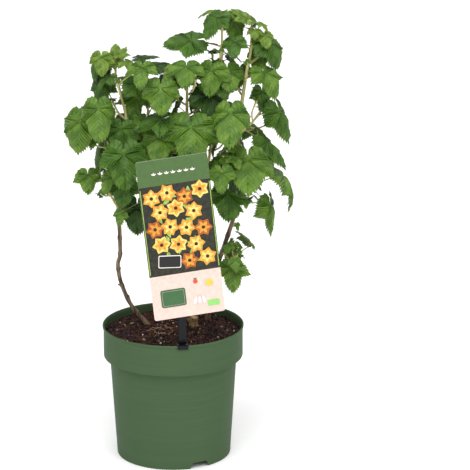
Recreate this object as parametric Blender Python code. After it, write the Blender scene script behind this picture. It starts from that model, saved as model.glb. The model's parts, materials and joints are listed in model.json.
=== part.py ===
"""A young currant bush in its nursery pot, with the plant label clipped to the pot's rim.

Metres, +Z up. The origin is the middle of the pot's foot, on the ground. The bush is described as it is
seen along +Y, so -Y is its front and +X its right. Angles in the tables are degrees.
"""

import math
import random
from collections import namedtuple

import bmesh
import bpy
from mathutils import Vector
from mathutils.bvhtree import BVHTree
from mathutils.geometry import interpolate_bezier

GAP = 0.0003  # between solids that touch
UP = Vector((0, 0, 1))
GOLDEN_ANGLE = math.radians(137.5)

# Pot: a turned plastic shell with a deep rim band, standing on a foot ring and a middle disc
RIM_RADIUS = 0.0950
BAND_FOOT_RADIUS = 0.0938
BAND_HEIGHT = 0.0425
BAND_SLOPE = 0.0040  # height of the band's slanted underside
SHOULDER_RADIUS = 0.0853
FOOT_RADIUS = 0.0768
POT_HEIGHT = 0.1810
WALL = 0.0018
LIP = 0.0012  # how far the rim's lip stands out
LIP_HEIGHT = 0.0030
RIM_EDGE = 0.0016  # the wall's thickness at the very top
FLOOR_RISE = 0.0085  # the floor's height between the ring and the disc
RING_WIDTH = 0.0024
RING_SLOPE = 0.0010
DISC_RADIUS = 0.0220
DISC_SLOPE = 0.0040
POT_SIDES = 36
NOTCH_WIDTH = 0.026
NOTCH_AZIMUTHS = (28, 208)  # from the front towards the right
DRAIN_RADIUS = 0.0055
DRAIN_RING = 0.048
DRAINS = 6

# Soil, level in the middle and a little lower at the wall
SOIL_TOP = 0.1745
SOIL_SHOULDER = 0.1712
SOIL_EDGE = 0.1700
SOIL_FLAT_RADIUS = 0.062
SOIL_SHOULDER_RADIUS = 0.080
FOOT = SOIL_TOP + GAP

# Old wood that was cut back above the soil
STUMP_AT = (0.0272, 0.0141)
STUMP_RADII = (0.0062, 0.0052, 0.0044)
STUMP_HEIGHT = 0.0110
STUMP_LEAN = (0.0012, -0.0016)

# Plant label, in a frame turned about the pot's axis so that -Y is outwards
LABEL_TURN = math.radians(9.0)
CARD_WIDTH = 0.094
CARD_HEIGHT = 0.217
CARD_THICK = 0.0008
CARD_CORNER = 0.003
CARD_ROLL = math.radians(6.3)
CARD_FOOT = (0.0103, -0.0917, 0.2215)  # middle of the card's lower edge
STRIP_WIDTH = 0.0105
STRIP_THICK = 0.0018
STRIP_FOOT = 0.173
STRIP_TOP = 0.395
CLIP_WIDTH = 0.0145
CLIP_THICK = 0.0015
CLIP_DROP = 0.0050

# Canes: each follows a smooth curve through a few knots, from a flat cut on the soil to where leaves begin
Limb = namedtuple("Limb", "name course thick thin")
LIMBS = (
    Limb("cane_left", ((-0.0351, 0.0162, FOOT), (-0.0565, 0.008, 0.2045), (-0.0695, 0.000, 0.2394),
                       (-0.0730, -0.006, 0.266), (-0.0700, -0.009, 0.281), (-0.0700, -0.012, 0.314),
                       (-0.0710, -0.015, 0.355), (-0.0640, -0.010, 0.410)), 0.0028, 0.0025),
    Limb("cane_centre", ((0.010, 0.036, FOOT), (0.010, 0.024, 0.290), (0.018, 0.002, 0.380),
                         (0.020, -0.004, 0.450)), 0.0034, 0.0025),
    Limb("cane_middle", ((0.024, 0.030, FOOT), (0.032, 0.014, 0.300), (0.043, 0.012, 0.420),
                         (0.047, 0.010, 0.465)), 0.0032, 0.0027),
    Limb("cane_right", ((0.046, 0.038, FOOT), (0.056, 0.012, 0.245), (0.070, 0.000, 0.294),
                        (0.084, 0.000, 0.3425), (0.088, 0.000, 0.410), (0.089, 0.000, 0.465)),
         0.0030, 0.0028),
    Limb("cane_back_left", ((-0.004, 0.054, FOOT), (-0.026, 0.058, 0.270), (-0.034, 0.068, 0.360)),
         0.0028, 0.0021),
    Limb("cane_back_right", ((0.030, 0.050, FOOT), (0.038, 0.060, 0.270), (0.046, 0.076, 0.370)),
         0.0028, 0.0021),
)
FOOT_FLARE = 1.45
LIMB_SIDES = 6
LIMB_STEP = 0.016

# Masses of leaves: a stem that goes on from a limb at a share of its length, the number of side twigs and
# of leaves on the stem, the length of a full-grown blade, where the leaves start to turn round the stem, and
# the middle and half sizes of the space that the mass keeps to
Mass = namedtuple("Mass", "name limb share course thick twigs leaves blade turn centre reach")
MASSES = (
    Mass("leaves_left_top", "cane_left", 1.0,
         ((-0.0588, -0.006, 0.4579), (-0.0664, -0.002, 0.4975),
          (-0.0727, 0.000, 0.5226), (-0.0738, 0.002, 0.5477)),
         0.0026, 3, 14, 0.030, 20, (-0.0616, 0.012, 0.5009), (0.058, 0.062, 0.062)),
    Mass("leaves_left_side", "cane_left", 0.92, ((-0.0880, -0.0140, 0.4460), (-0.1040, -0.0200, 0.4700)),
         0.0018, 1, 8, 0.034, 200, (-0.1108, 0.006, 0.4521), (0.038, 0.062, 0.046)),
    Mass("leaves_left_low", "cane_left", 0.74, ((-0.0820, -0.0300, 0.3720), (-0.0860, -0.0400, 0.3920)),
         0.0017, 1, 9, 0.030, 90, (-0.0727, -0.004, 0.4042), (0.032, 0.066, 0.050)),
    Mass("leaves_centre_top", "cane_centre", 1.0, ((0.0203, -0.004, 0.5047), (0.0205, -0.006, 0.5348)),
         0.0025, 3, 10, 0.034, 45, (0.0161, 0.008, 0.4910), (0.056, 0.070, 0.050)),
    Mass("leaves_centre_front", "cane_centre", 0.8, ((0.0060, -0.0300, 0.4200), (0.0000, -0.0440, 0.4480)),
         0.0018, 2, 8, 0.038, 180, (0.0059, -0.020, 0.4412), (0.054, 0.056, 0.048)),
    Mass("leaves_centre_low", "cane_centre", 0.55, ((-0.0100, -0.0100, 0.3500), (-0.0200, -0.0200, 0.3720)),
         0.0017, 2, 8, 0.034, 300, (-0.0345, -0.010, 0.3702), (0.052, 0.066, 0.052)),
    Mass("leaves_middle_top", "cane_middle", 1.0,
         ((0.0557, 0.006, 0.4996), (0.0650, 0.000, 0.5428),
          (0.0663, 0.000, 0.5775), (0.0664, 0.000, 0.6041)),
         0.0027, 3, 11, 0.032, 10, (0.0662, 0.014, 0.5328), (0.042, 0.062, 0.070)),
    Mass("leaves_right_top", "cane_right", 1.0,
         ((0.0938, 0.000, 0.4970), (0.0990, 0.000, 0.5307),
          (0.1042, 0.000, 0.5602), (0.1055, 0.000, 0.5948)),
         0.0028, 3, 12, 0.032, 150, (0.1122, 0.014, 0.5355), (0.036, 0.062, 0.068)),
    Mass("leaves_right_side", "cane_right", 0.93, ((0.1060, 0.0080, 0.4580), (0.1180, 0.0100, 0.4740)),
         0.0018, 2, 8, 0.032, 60, (0.1217, 0.014, 0.4460), (0.030, 0.060, 0.052)),
    Mass("leaves_right_front", "cane_right", 0.8, ((0.0800, -0.0260, 0.4280), (0.0760, -0.0400, 0.4500)),
         0.0018, 2, 9, 0.036, 120, (0.0820, -0.014, 0.4260), (0.042, 0.060, 0.064)),
    Mass("leaves_right_low", "cane_right", 0.62, ((0.0980, -0.0040, 0.3520), (0.1070, -0.0080, 0.3850)),
         0.0015, 0, 0, 0.028, 0, (0.1271, 0.000, 0.3605), (0.045, 0.060, 0.055)),
    Mass("leaves_right_foot", "cane_right", 0.38, ((0.0800, -0.0260, 0.2760), (0.0860, -0.0340, 0.2900)),
         0.0013, 0, 0, 0.028, 250, (0.0873, -0.020, 0.2833), (0.040, 0.050, 0.055)),
    Mass("leaves_back_left", "cane_back_left", 1.0,
         ((-0.0360, 0.0740, 0.4000), (-0.0340, 0.0820, 0.4500), (-0.0360, 0.0860, 0.4900)),
         0.0022, 4, 14, 0.038, 200, (-0.0512, 0.072, 0.4421), (0.066, 0.066, 0.082)),
    Mass("leaves_back_right", "cane_back_right", 1.0,
         ((0.0520, 0.0820, 0.4200), (0.0580, 0.0860, 0.4700), (0.0600, 0.0880, 0.5050)),
         0.0022, 4, 14, 0.038, 20, (0.0712, 0.076, 0.4411), (0.062, 0.066, 0.086)),
)
TIP_RADIUS = 0.0013
STEM_STEP = 0.014
STEM_SIDES = 5
SIDE_TWIG_LENGTH = (0.028, 0.040)
SIDE_TWIG_THICK = 0.6  # of its stem's radius
SIDE_TWIG_SIDES = 4
SIDE_TWIG_TRIES = 6
SIDE_TWIG_TURN = 0.9  # radians between tries

# Leaves: the blade's lobes and notches as angles from the midrib and shares of the midrib's length
LOBES = ((0, 1.00), (20, 0.83), (45, 0.55), (69, 0.79), (98, 0.60), (138, 0.53))
BLADE_THICK = 0.045  # at the junction, as a share of the blade
STALK_SEAT = 0.08  # how far behind the junction a stalk meets its blade, as a share of the blade
STALK_RADIUS = 0.0009
STALK_SLIM = 0.03  # a small leaf's stalk radius as a share of its blade
STALK_TAPER = 0.75
STALK_POINTS = 4

# The rule for leaves, with angles in degrees
STALK_SHARE = (0.64, 0.98)  # a stalk's length as a share of its blade's
STALK_LEAN = (42, 68)  # between a stalk and its twig
YOUNG_LEAN = -22
DROOP = (28, 70)  # of the midrib below level
YOUNG_DROOP = 0.35  # a tip leaf's droop as a share of a grown leaf's
ROLL_SPREAD = 14
CURL = (0.15, 0.75)  # radians by which the midrib bends down
FOLD = (0.25, 0.85)  # radians by which the sides bend down
YOUNG_FOLD = 0.5
SIZE_SPREAD = (0.86, 1.14)
YOUNG_SIZE = 0.38  # a tip leaf's blade as a share of a grown leaf's
YOUNG_FROM = 0.55  # the share of a twig past which its leaves are young
LOWEST_LEAF = (0.10, 0.35)  # the share of a stem and of a side twig where its leaves begin
OUTWARDS = 0.45  # how strongly leaves turn to the outside of the crown
CROWN_AXIS = Vector((0.02, 0.02, 0))
ELBOW = 0.0010  # the free space that a leaf keeps round it
TRIES = 14
TRY_TURN = 0.35
TRY_SHRINK = 0.03

# Leaves that face the front: where the blade starts, the way it faces from the front towards the right, its
# droop and roll, the blade's length, and how it bends along and across
SetLeaf = namedtuple("SetLeaf", "mass junction facing droop roll blade curl fold")
SET_LEAVES = (
    SetLeaf("leaves_left_top", (-0.091, -0.016, 0.552), 0, 48, 0, 0.025, 0.5, 1.0),
    SetLeaf("leaves_left_top", (-0.099, 0.006, 0.540), -60, 60, 0, 0.026, 0.9, 1.3),
    SetLeaf("leaves_left_top", (-0.074, 0.002, 0.548), 180, -50, 0, 0.022, 0.3, 0.6),
    SetLeaf("leaves_left_top", (-0.067, 0.004, 0.549), 150, -35, 0, 0.018, 0.3, 0.6),
    SetLeaf("leaves_left_top", (-0.080, -0.008, 0.549), -30, 20, 0, 0.020, 0.5, 0.9),
    SetLeaf("leaves_left_top", (-0.059, -0.010, 0.544), 40, 30, 0, 0.022, 0.4, 0.7),
    SetLeaf("leaves_left_top", (-0.043, 0.022, 0.542), 90, -6, -6, 0.026, 0.2, 0.5),
    SetLeaf("leaves_left_top", (-0.026, 0.012, 0.533), 150, -8, 0, 0.034, 0.4, 0.5),
    SetLeaf("leaves_left_top", (-0.037, -0.020, 0.538), -10, 46, 0, 0.032, 0.4, 0.6),
    SetLeaf("leaves_left_top", (-0.013, -0.045, 0.517), 0, 50, 0, 0.034, 0.5, 0.6),
    SetLeaf("leaves_left_top", (-0.081, -0.012, 0.524), -70, 28, 0, 0.028, 0.6, 0.9),
    SetLeaf("leaves_left_top", (-0.093, 0.014, 0.526), -50, 48, 0, 0.024, 0.6, 1.0),
    SetLeaf("leaves_left_top", (-0.042, -0.012, 0.515), 40, 45, 0, 0.034, 0.4, 0.6),
    SetLeaf("leaves_left_top", (-0.090, 0.010, 0.509), -20, 50, 0, 0.028, 0.5, 0.8),
    SetLeaf("leaves_left_top", (-0.051, 0.006, 0.493), 10, 50, 0, 0.032, 0.5, 0.7),
    SetLeaf("leaves_left_side", (-0.094, -0.050, 0.491), 2, 60, 0, 0.042, 0.4, 1.9),
    SetLeaf("leaves_left_side", (-0.120, -0.020, 0.466), -22, 60, 0, 0.045, 0.5, 1.5),
    SetLeaf("leaves_left_side", (-0.115, 0.012, 0.475), -60, 35, 0, 0.030, 0.6, 0.8),
    SetLeaf("leaves_left_side", (-0.107, 0.004, 0.453), -20, 60, 0, 0.026, 0.5, 0.9),
    SetLeaf("leaves_left_low", (-0.061, -0.062, 0.433), 5, 62, 0, 0.046, 0.4, 0.4),
    SetLeaf("leaves_left_low", (-0.093, -0.006, 0.433), -62, 74, 0, 0.048, 0.3, 1.6),
    SetLeaf("leaves_left_low", (-0.080, -0.050, 0.399), -30, 50, 0, 0.024, 0.4, 0.6),
    SetLeaf("leaves_left_low", (-0.063, -0.046, 0.388), -5, 55, 0, 0.030, 0.4, 0.5),
    SetLeaf("leaves_left_low", (-0.111, -0.014, 0.392), 5, 58, 0, 0.027, 0.5, 0.8),
    SetLeaf("leaves_left_low", (-0.066, -0.030, 0.459), -20, 62, 0, 0.034, 0.4, 0.7),
    SetLeaf("leaves_centre_low", (-0.046, -0.030, 0.351), -5, 62, 0, 0.034, 0.4, 0.5),
    SetLeaf("leaves_centre_low", (-0.067, -0.030, 0.344), -15, 68, 0, 0.017, 0.4, 0.8),
    SetLeaf("leaves_centre_front", (0.026, -0.052, 0.467), 0, 48, 0, 0.055, 0.5, 0.5),
    SetLeaf("leaves_centre_front", (-0.013, -0.044, 0.476), -80, 4, 14, 0.040, 0.4, 0.6),
    SetLeaf("leaves_centre_front", (-0.033, -0.012, 0.436), -25, 55, 0, 0.034, 0.4, 0.5),
    SetLeaf("leaves_centre_front", (-0.013, -0.046, 0.452), -20, 50, 0, 0.036, 0.3, 0.5),
    SetLeaf("leaves_centre_front", (0.003, -0.024, 0.442), 20, 55, 0, 0.032, 0.3, 0.5),
    SetLeaf("leaves_centre_top", (0.020, -0.030, 0.542), -3, 34, 0, 0.034, 0.7, 0.5),
    SetLeaf("leaves_centre_top", (0.047, 0.000, 0.496), 20, 40, 0, 0.034, 0.5, 0.6),
    SetLeaf("leaves_centre_top", (-0.002, 0.012, 0.517), -40, 35, 0, 0.034, 0.5, 0.6),
    SetLeaf("leaves_middle_top", (0.026, 0.000, 0.571), -84, 4, 25, 0.036, 0.4, 0.7),
    SetLeaf("leaves_middle_top", (0.040, 0.006, 0.566), 88, 0, 8, 0.022, 0.2, 0.5),
    SetLeaf("leaves_middle_top", (0.059, -0.014, 0.604), -42, 38, 0, 0.031, 0.6, 0.7),
    SetLeaf("leaves_middle_top", (0.078, -0.006, 0.601), 36, 38, 0, 0.031, 0.6, 0.7),
    SetLeaf("leaves_middle_top", (0.057, 0.018, 0.606), -84, 2, 0, 0.026, 0.8, 0.8),
    SetLeaf("leaves_middle_top", (0.072, 0.008, 0.606), 75, 5, 0, 0.020, 0.8, 0.9),
    SetLeaf("leaves_middle_top", (0.053, -0.026, 0.537), -18, 56, 0, 0.036, 0.5, 1.1),
    SetLeaf("leaves_middle_top", (0.074, -0.004, 0.529), 12, 50, 0, 0.030, 0.5, 0.8),
    SetLeaf("leaves_middle_top", (0.058, 0.020, 0.534), -140, 0, 0, 0.028, 0.5, 0.7),
    SetLeaf("leaves_right_top", (0.100, 0.004, 0.598), -125, -40, 0, 0.027, 0.4, 0.6),
    SetLeaf("leaves_right_top", (0.107, 0.004, 0.595), 90, 6, 12, 0.020, 0.3, 0.5),
    SetLeaf("leaves_right_top", (0.109, -0.012, 0.586), 0, 26, 0, 0.016, 0.5, 0.9),
    SetLeaf("leaves_right_top", (0.122, -0.014, 0.581), 15, 36, 0, 0.020, 0.5, 0.9),
    SetLeaf("leaves_right_top", (0.126, 0.004, 0.566), 52, 40, 0, 0.038, 0.9, 0.6),
    SetLeaf("leaves_right_top", (0.118, -0.010, 0.561), -25, 52, 0, 0.030, 0.5, 0.8),
    SetLeaf("leaves_right_top", (0.083, -0.024, 0.574), -8, 50, 0, 0.024, 0.4, 0.5),
    SetLeaf("leaves_right_top", (0.122, -0.026, 0.533), 40, 38, 0, 0.037, 0.6, 0.6),
    SetLeaf("leaves_right_top", (0.089, 0.020, 0.526), -10, 50, 0, 0.026, 0.4, 0.6),
    SetLeaf("leaves_right_side", (0.143, 0.000, 0.474), 56, 62, 0, 0.039, 0.4, 1.9),
    SetLeaf("leaves_right_side", (0.119, 0.004, 0.501), 25, 60, 0, 0.028, 0.4, 1.0),
    SetLeaf("leaves_right_side", (0.102, 0.010, 0.452), 60, 34, 0, 0.036, 0.5, 0.7),
    SetLeaf("leaves_right_side", (0.126, 0.000, 0.432), 66, 46, 0, 0.041, 0.3, 1.4),
    SetLeaf("leaves_right_side", (0.122, -0.012, 0.419), 30, 48, 0, 0.028, 0.4, 0.6),
    SetLeaf("leaves_right_front", (0.078, -0.060, 0.488), 0, 60, 0, 0.048, 0.3, 2.0),
    SetLeaf("leaves_right_front", (0.100, -0.052, 0.423), 2, 60, 0, 0.050, 0.4, 1.3),
    SetLeaf("leaves_right_front", (0.066, -0.066, 0.409), 0, 58, 0, 0.028, 0.4, 0.5),
    SetLeaf("leaves_right_front", (0.090, -0.020, 0.403), 5, 62, 0, 0.036, 0.4, 0.5),
    SetLeaf("leaves_right_front", (0.074, -0.024, 0.370), -5, 66, 0, 0.036, 0.4, 0.6),
    SetLeaf("leaves_right_low", (0.147, 0.000, 0.387), 92, 46, 0, 0.048, 1.3, 0.8),
    SetLeaf("leaves_right_low", (0.130, 0.000, 0.347), 64, 80, 0, 0.040, 0.3, 1.5),
    SetLeaf("leaves_right_low", (0.087, -0.020, 0.347), -20, 60, 0, 0.012, 0.4, 0.9),
    SetLeaf("leaves_right_low", (0.086, -0.016, 0.325), 30, 60, 0, 0.009, 0.4, 0.9),
    SetLeaf("leaves_right_foot", (0.102, -0.012, 0.299), -58, -66, 0, 0.028, 0.6, 1.0),
    SetLeaf("leaves_right_foot", (0.079, -0.032, 0.269), 4, 60, 0, 0.033, 0.3, 0.5),
    SetLeaf("leaves_right_foot", (0.075, -0.018, 0.280), 125, -74, 0, 0.026, 0.2, 1.2),
)

# Openings that leaves keep clear of, along the line of sight through two places in the plane of the crown's
# middle: in front of the stems that show, as far back as the stem, and right through where the sky shows
Opening = namedtuple("Opening", "start end width back")
OPENINGS = (
    Opening((-0.059, 0.459), (-0.068, 0.504), 0.0054, -0.004),
    Opening((-0.068, 0.504), (-0.074, 0.525), 0.0054, -0.004),
    Opening((0.020, 0.469), (0.019, 0.504), 0.0054, -0.006),
    Opening((0.066, 0.544), (0.066, 0.579), 0.0080, -0.004),
    Opening((0.092, 0.493), (0.106, 0.563), 0.0080, -0.004),
    Opening((0.085, 0.345), (0.085, 0.363), 0.0067, -0.004),
    Opening((0.095, 0.558), (0.095, 0.547), 0.0054, 0.16),
    Opening((0.108, 0.562), (0.106, 0.547), 0.0040, 0.16),
    Opening((0.024, 0.549), (0.058, 0.549), 0.0094, 0.16),
    Opening((0.056, 0.574), (0.058, 0.555), 0.0094, 0.16),
    Opening((0.072, 0.580), (0.072, 0.571), 0.0067, 0.16),
    Opening((-0.015, 0.552), (0.006, 0.548), 0.0080, 0.16),
    Opening((0.078, 0.506), (0.089, 0.493), 0.0080, 0.16),
    Opening((0.099, 0.504), (0.099, 0.490), 0.0040, 0.16),
    Opening((0.099, 0.482), (0.119, 0.471), 0.0134, 0.16),
    Opening((0.106, 0.466), (0.124, 0.447), 0.0094, 0.16),
    Opening((0.063, 0.432), (0.070, 0.432), 0.0067, 0.16),
    Opening((0.097, 0.435), (0.112, 0.428), 0.0054, 0.16),
    Opening((0.119, 0.384), (0.138, 0.373), 0.0161, 0.16),
    Opening((0.026, 0.505), (0.028, 0.502), 0.0080, 0.16),
    Opening((0.011, 0.500), (0.015, 0.500), 0.0067, 0.16),
    Opening((0.037, 0.523), (0.037, 0.515), 0.0040, 0.16),
    Opening((0.045, 0.485), (0.045, 0.482), 0.0054, 0.16),
    Opening((0.056, 0.486), (0.057, 0.484), 0.0080, 0.16),
    Opening((-0.030, 0.511), (-0.032, 0.505), 0.0040, 0.16),
    Opening((-0.054, 0.481), (-0.034, 0.477), 0.0040, 0.16),
    Opening((-0.069, 0.493), (-0.068, 0.477), 0.0040, 0.16),
    Opening((-0.094, 0.496), (-0.084, 0.496), 0.0027, 0.16),
    Opening((-0.078, 0.484), (-0.075, 0.481), 0.0040, 0.16),
    Opening((-0.112, 0.451), (-0.109, 0.444), 0.0054, 0.16),
    Opening((-0.114, 0.409), (-0.106, 0.420), 0.0134, 0.16),
    Opening((-0.090, 0.425), (-0.093, 0.405), 0.0027, 0.16),
    Opening((-0.061, 0.533), (-0.060, 0.531), 0.0054, 0.16),
    Opening((-0.055, 0.549), (-0.041, 0.544), 0.0040, 0.16),
    Opening((-0.037, 0.441), (-0.037, 0.439), 0.0027, 0.16),
    Opening((-0.013, 0.470), (-0.008, 0.473), 0.0040, 0.16),
    Opening((0.063, 0.340), (0.066, 0.327), 0.0067, 0.16),
    Opening((-0.080, 0.334), (-0.091, 0.348), 0.0080, 0.16),
)
OPENING_FRONT = -0.16
SIGHT_SLOPE = 0.299  # by how much the line of sight sinks per length backwards

SET_SHIFTS = (0, -4, 4, -8, 8, -12, 12, -16, 16, 22, 28)  # millimetres along the line of sight
SET_TILTS = (0, 8, -8, 16, -16, 24)

Twig = namedtuple("Twig", "points radii sides")
Leaf = namedtuple("Leaf", "mass stalk junction axis normal blade curl fold")


# Lines

def smooth_course(knots, step):
    """Points about a step apart on a smooth curve through the knots."""
    knots = [Vector(knot) for knot in knots]
    points = []
    for i in range(len(knots) - 1):
        start, end = knots[i], knots[i + 1]
        before, after = knots[max(i - 1, 0)], knots[min(i + 2, len(knots) - 1)]
        count = max(3, math.ceil((end - start).length / step) + 1)
        leave = start + (end - before) / 6
        arrive = end - (after - start) / 6
        points += interpolate_bezier(start, leave, arrive, end, count)[:-1]
    return points + [knots[-1]]


def along(points, share):
    """The place and the direction at a share of a line's length."""
    lengths = [(b - a).length for a, b in zip(points, points[1:])]
    left = share * sum(lengths)
    for a, b, length in zip(points, points[1:], lengths):
        if left <= length:
            break
        left -= length
    direction = (b - a).normalized()
    return a + direction * min(left, length), direction


def sideways(direction, azimuth):
    """A direction square to the given one, turned about it by the azimuth."""
    reference = Vector((0, -1, 0)) if abs(direction.z) > 0.5 else UP
    side = (reference - direction * reference.dot(direction)).normalized()
    return side * math.cos(azimuth) + direction.cross(side) * math.sin(azimuth)


def level(direction):
    """The level part of a direction."""
    flat = Vector((direction.x, direction.y, 0))
    return flat.normalized() if flat.length > 1e-4 else Vector((0, -1, 0))


def mix(limits, share):
    return limits[0] + (limits[1] - limits[0]) * share


def taper(points, thick, thin):
    return [mix((thick, thin), i / (len(points) - 1)) for i in range(len(points))]


# Shapes as points and faces

def tube_skin(points, radii, sides, first_side=None):
    """A tube along a line, closed at both ends, with a corner on the first side."""
    skin, faces = [], []
    side = first_side or sideways((points[1] - points[0]).normalized(), 0)
    for i, point in enumerate(points):
        before, after = points[max(i - 1, 0)], points[min(i + 1, len(points) - 1)]
        direction = (after - before).normalized()
        side = (side - direction * side.dot(direction)).normalized()
        other = direction.cross(side)
        for j in range(sides):
            turn = 2 * math.pi * j / sides
            skin.append(point + (side * math.cos(turn) + other * math.sin(turn)) * radii[i])
    for i in range(len(points) - 1):
        for j in range(sides):
            a, b = i * sides + j, i * sides + (j + 1) % sides
            faces.append((a, b, b + sides, a + sides))
    faces.append(tuple(range(sides - 1, -1, -1)))
    last = (len(points) - 1) * sides
    faces.append(tuple(range(last, last + sides)))
    return skin, faces


def turned_skin(profile, sides):
    """A solid of revolution; the profile runs from pole to pole on the axis."""
    points = [Vector((0, 0, profile[0][1]))]
    for radius, height in profile[1:-1]:
        for j in range(sides):
            turn = 2 * math.pi * j / sides
            points.append(Vector((radius * math.cos(turn), radius * math.sin(turn), height)))
    points.append(Vector((0, 0, profile[-1][1])))
    faces = []
    rings = len(profile) - 2
    last = 1 + (rings - 1) * sides
    for j in range(sides):
        k = (j + 1) % sides
        faces.append((0, 1 + k, 1 + j))
        for i in range(rings - 1):
            low, high = 1 + i * sides, 1 + (i + 1) * sides
            faces.append((low + j, low + k, high + k, high + j))
        faces.append((last + j, last + k, len(points) - 1))
    return points, faces


def box_skin(low, high):
    ends = list(zip(low, high))
    points = [Vector((x, y, z)) for x in ends[0] for y in ends[1] for z in ends[2]]
    return points, [(0, 1, 3, 2), (4, 6, 7, 5), (0, 4, 5, 1), (2, 3, 7, 6), (0, 2, 6, 4), (1, 5, 7, 3)]


def turn_about_axis(points, angle):
    """Points turned about the pot's axis."""
    return [Vector((p.x * math.cos(angle) - p.y * math.sin(angle),
                    p.x * math.sin(angle) + p.y * math.cos(angle), p.z)) for p in points]


# The form of a blade

def arc(distance, turn):
    """How far forwards and how far down a line of this length gets when it bends by the turn."""
    if abs(turn) < 1e-6:
        return distance, 0.0
    return distance * math.sin(turn) / turn, distance * (1 - math.cos(turn)) / turn


def on_blade(leaf, reach, angle):
    """A point of a blade: reach is a share of its length, and the angle is taken from the midrib."""
    forward, across = reach * math.cos(angle), reach * math.sin(angle)
    across, droop = arc(across, leaf.fold * across)
    turn = leaf.curl * forward
    forward, drop = arc(forward, turn)
    forward -= droop * math.sin(turn)
    drop += droop * math.cos(turn)
    side = leaf.normal.cross(leaf.axis)
    return leaf.junction + (leaf.axis * forward + side * across - leaf.normal * drop) * leaf.blade


def lobe_ring():
    """The blade's outline as angles and reaches, from the basal lobe on one side to that on the other."""
    half = [(math.radians(angle), reach) for angle, reach in LOBES]
    return [(-angle, reach) for angle, reach in reversed(half[1:])] + half


def ring_points(leaf):
    return [on_blade(leaf, reach, angle) for angle, reach in lobe_ring()]


def blade_space(leaf):
    """A blade's two skins, each held off its middle, for tests against its neighbours."""
    ring = lobe_ring() + [(math.pi, STALK_SEAT)]
    count = len(ring)
    points, faces = [], []
    for side in (1, -1):
        first = len(points)
        lift = leaf.normal * ELBOW * side
        points.append(leaf.junction + lift)
        points += [on_blade(leaf, reach * 0.55, angle) + lift for angle, reach in ring]
        points += [on_blade(leaf, reach * 1.04, angle) + lift for angle, reach in ring]
        for i in range(count):
            a, b = first + 1 + i, first + 1 + (i + 1) % count
            faces.append((first, a, b))
            faces.append((a, a + count, b + count, b))
    half = len(points) // 2
    for i in range(count):
        a, b = 1 + count + i, 1 + count + (i + 1) % count
        faces.append((a, b, b + half, a + half))
    return points, faces


# Growth

class Room:
    """What is taken already, as a tree of faces for each piece, with a ball round it."""

    def __init__(self):
        self.pieces = []

    def piece(self, owner, points, faces):
        middle = sum(points, Vector()) / len(points)
        radius = max((point - middle).length for point in points)
        return owner, middle, radius, BVHTree.FromPolygons(points, faces)

    def clear(self, piece, skip=None):
        """Whether a piece touches nothing, apart from the pieces of one owner."""
        _, middle, radius, tree = piece
        for owner, other_middle, other_radius, other in self.pieces:
            near = (middle - other_middle).length < radius + other_radius
            if owner != skip and near and tree.overlap(other):
                return False
        return True

    def add(self, *pieces):
        self.pieces += pieces


def stalk_radius(blade):
    return min(STALK_RADIUS, blade * STALK_SLIM)


def make_leaf(mass, root, leave, junction, heading, droop, roll, blade, curl, fold):
    """A leaf whose stalk leaves its twig at the root, and whose blade starts at the junction."""
    axis = heading * math.cos(droop) - UP * math.sin(droop)
    normal = UP * math.cos(droop) + heading * math.sin(droop)
    side = normal.cross(axis)
    normal = normal * math.cos(roll) + side * math.sin(roll)
    arrive = (heading * 0.8 + UP * 0.5 * math.cos(droop) + leave * 0.4).normalized()
    seat = junction - axis * blade * STALK_SEAT - normal * stalk_radius(blade) / 2
    length = (seat - root).length
    handles = (root + leave * length * 0.4, seat - arrive * length * 0.35)
    stalk = interpolate_bezier(root, *handles, seat, STALK_POINTS)
    return Leaf(mass.name, stalk, junction, axis, normal, blade, curl, fold)


def leaf_pieces(room, leaf):
    """The blade and the free part of the stalk, for tests against the rest."""
    stalk = leaf.stalk
    free = [stalk[0].lerp(stalk[1], 0.5)] + stalk[1:-1] + [stalk[-1].lerp(stalk[-2], 0.2)]
    radii = [stalk_radius(leaf.blade) + ELBOW / 2] * len(free)
    return room.piece("blade", *blade_space(leaf)), room.piece("stalk", *tube_skin(free, radii, 3))


def in_space(mass, points):
    centre = Vector(mass.centre)
    for point in points:
        offset = point - centre
        if sum((offset[i] / mass.reach[i]) ** 2 for i in range(3)) > 1:
            return False
    return True


def twig_piece(mass, twig, room):
    """A twig with elbow room; its owner is its mass."""
    grown = [radius + ELBOW for radius in twig.radii]
    return room.piece(mass.name, *tube_skin(twig.points, grown, 4))


def grow_stem(mass, limb_course, limb_radius):
    """The mass's stem, which starts clear of its limb."""
    start, direction = along(limb_course, mass.share)
    aim = (Vector(mass.course[0]) - start).normalized()
    cosine, sine = aim.dot(direction), aim.cross(direction).length
    if mass.share == 1.0:
        first = start + direction * (GAP + mass.thick * sine)
    else:
        first = start + aim * (limb_radius + GAP + mass.thick * cosine) / sine
    points = smooth_course([first] + list(mass.course), STEM_STEP)
    return Twig(points, taper(points, mass.thick, TIP_RADIUS), STEM_SIDES)


def grow_side_twigs(mass, stem, room):
    """The side twigs that find room, round and round the stem."""
    twigs = []
    for i in range(mass.twigs):
        rng = random.Random(f"{mass.name} twig {i}")
        root, direction = along(stem.points, 0.15 + 0.5 * (i + 0.5) / mass.twigs)
        for attempt in range(SIDE_TWIG_TRIES):
            azimuth = math.radians(mass.turn) + (i + 0.5) * GOLDEN_ANGLE + attempt * SIDE_TWIG_TURN
            out = sideways(direction, azimuth)
            length = rng.uniform(*SIDE_TWIG_LENGTH)
            bend = root + (direction * 0.5 + out * 0.85) * length * 0.5
            tip = root + (direction * 0.75 + out * 0.7) * length
            points = smooth_course([root, bend, tip], STEM_STEP)
            radii = taper(points, mass.thick * SIDE_TWIG_THICK, TIP_RADIUS * 0.9)
            twig = Twig(points, radii, SIDE_TWIG_SIDES)
            if in_space(mass, points) and room.clear(twig_piece(mass, twig, room), skip=mass.name):
                twigs.append(twig)
                break
    return twigs


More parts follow.
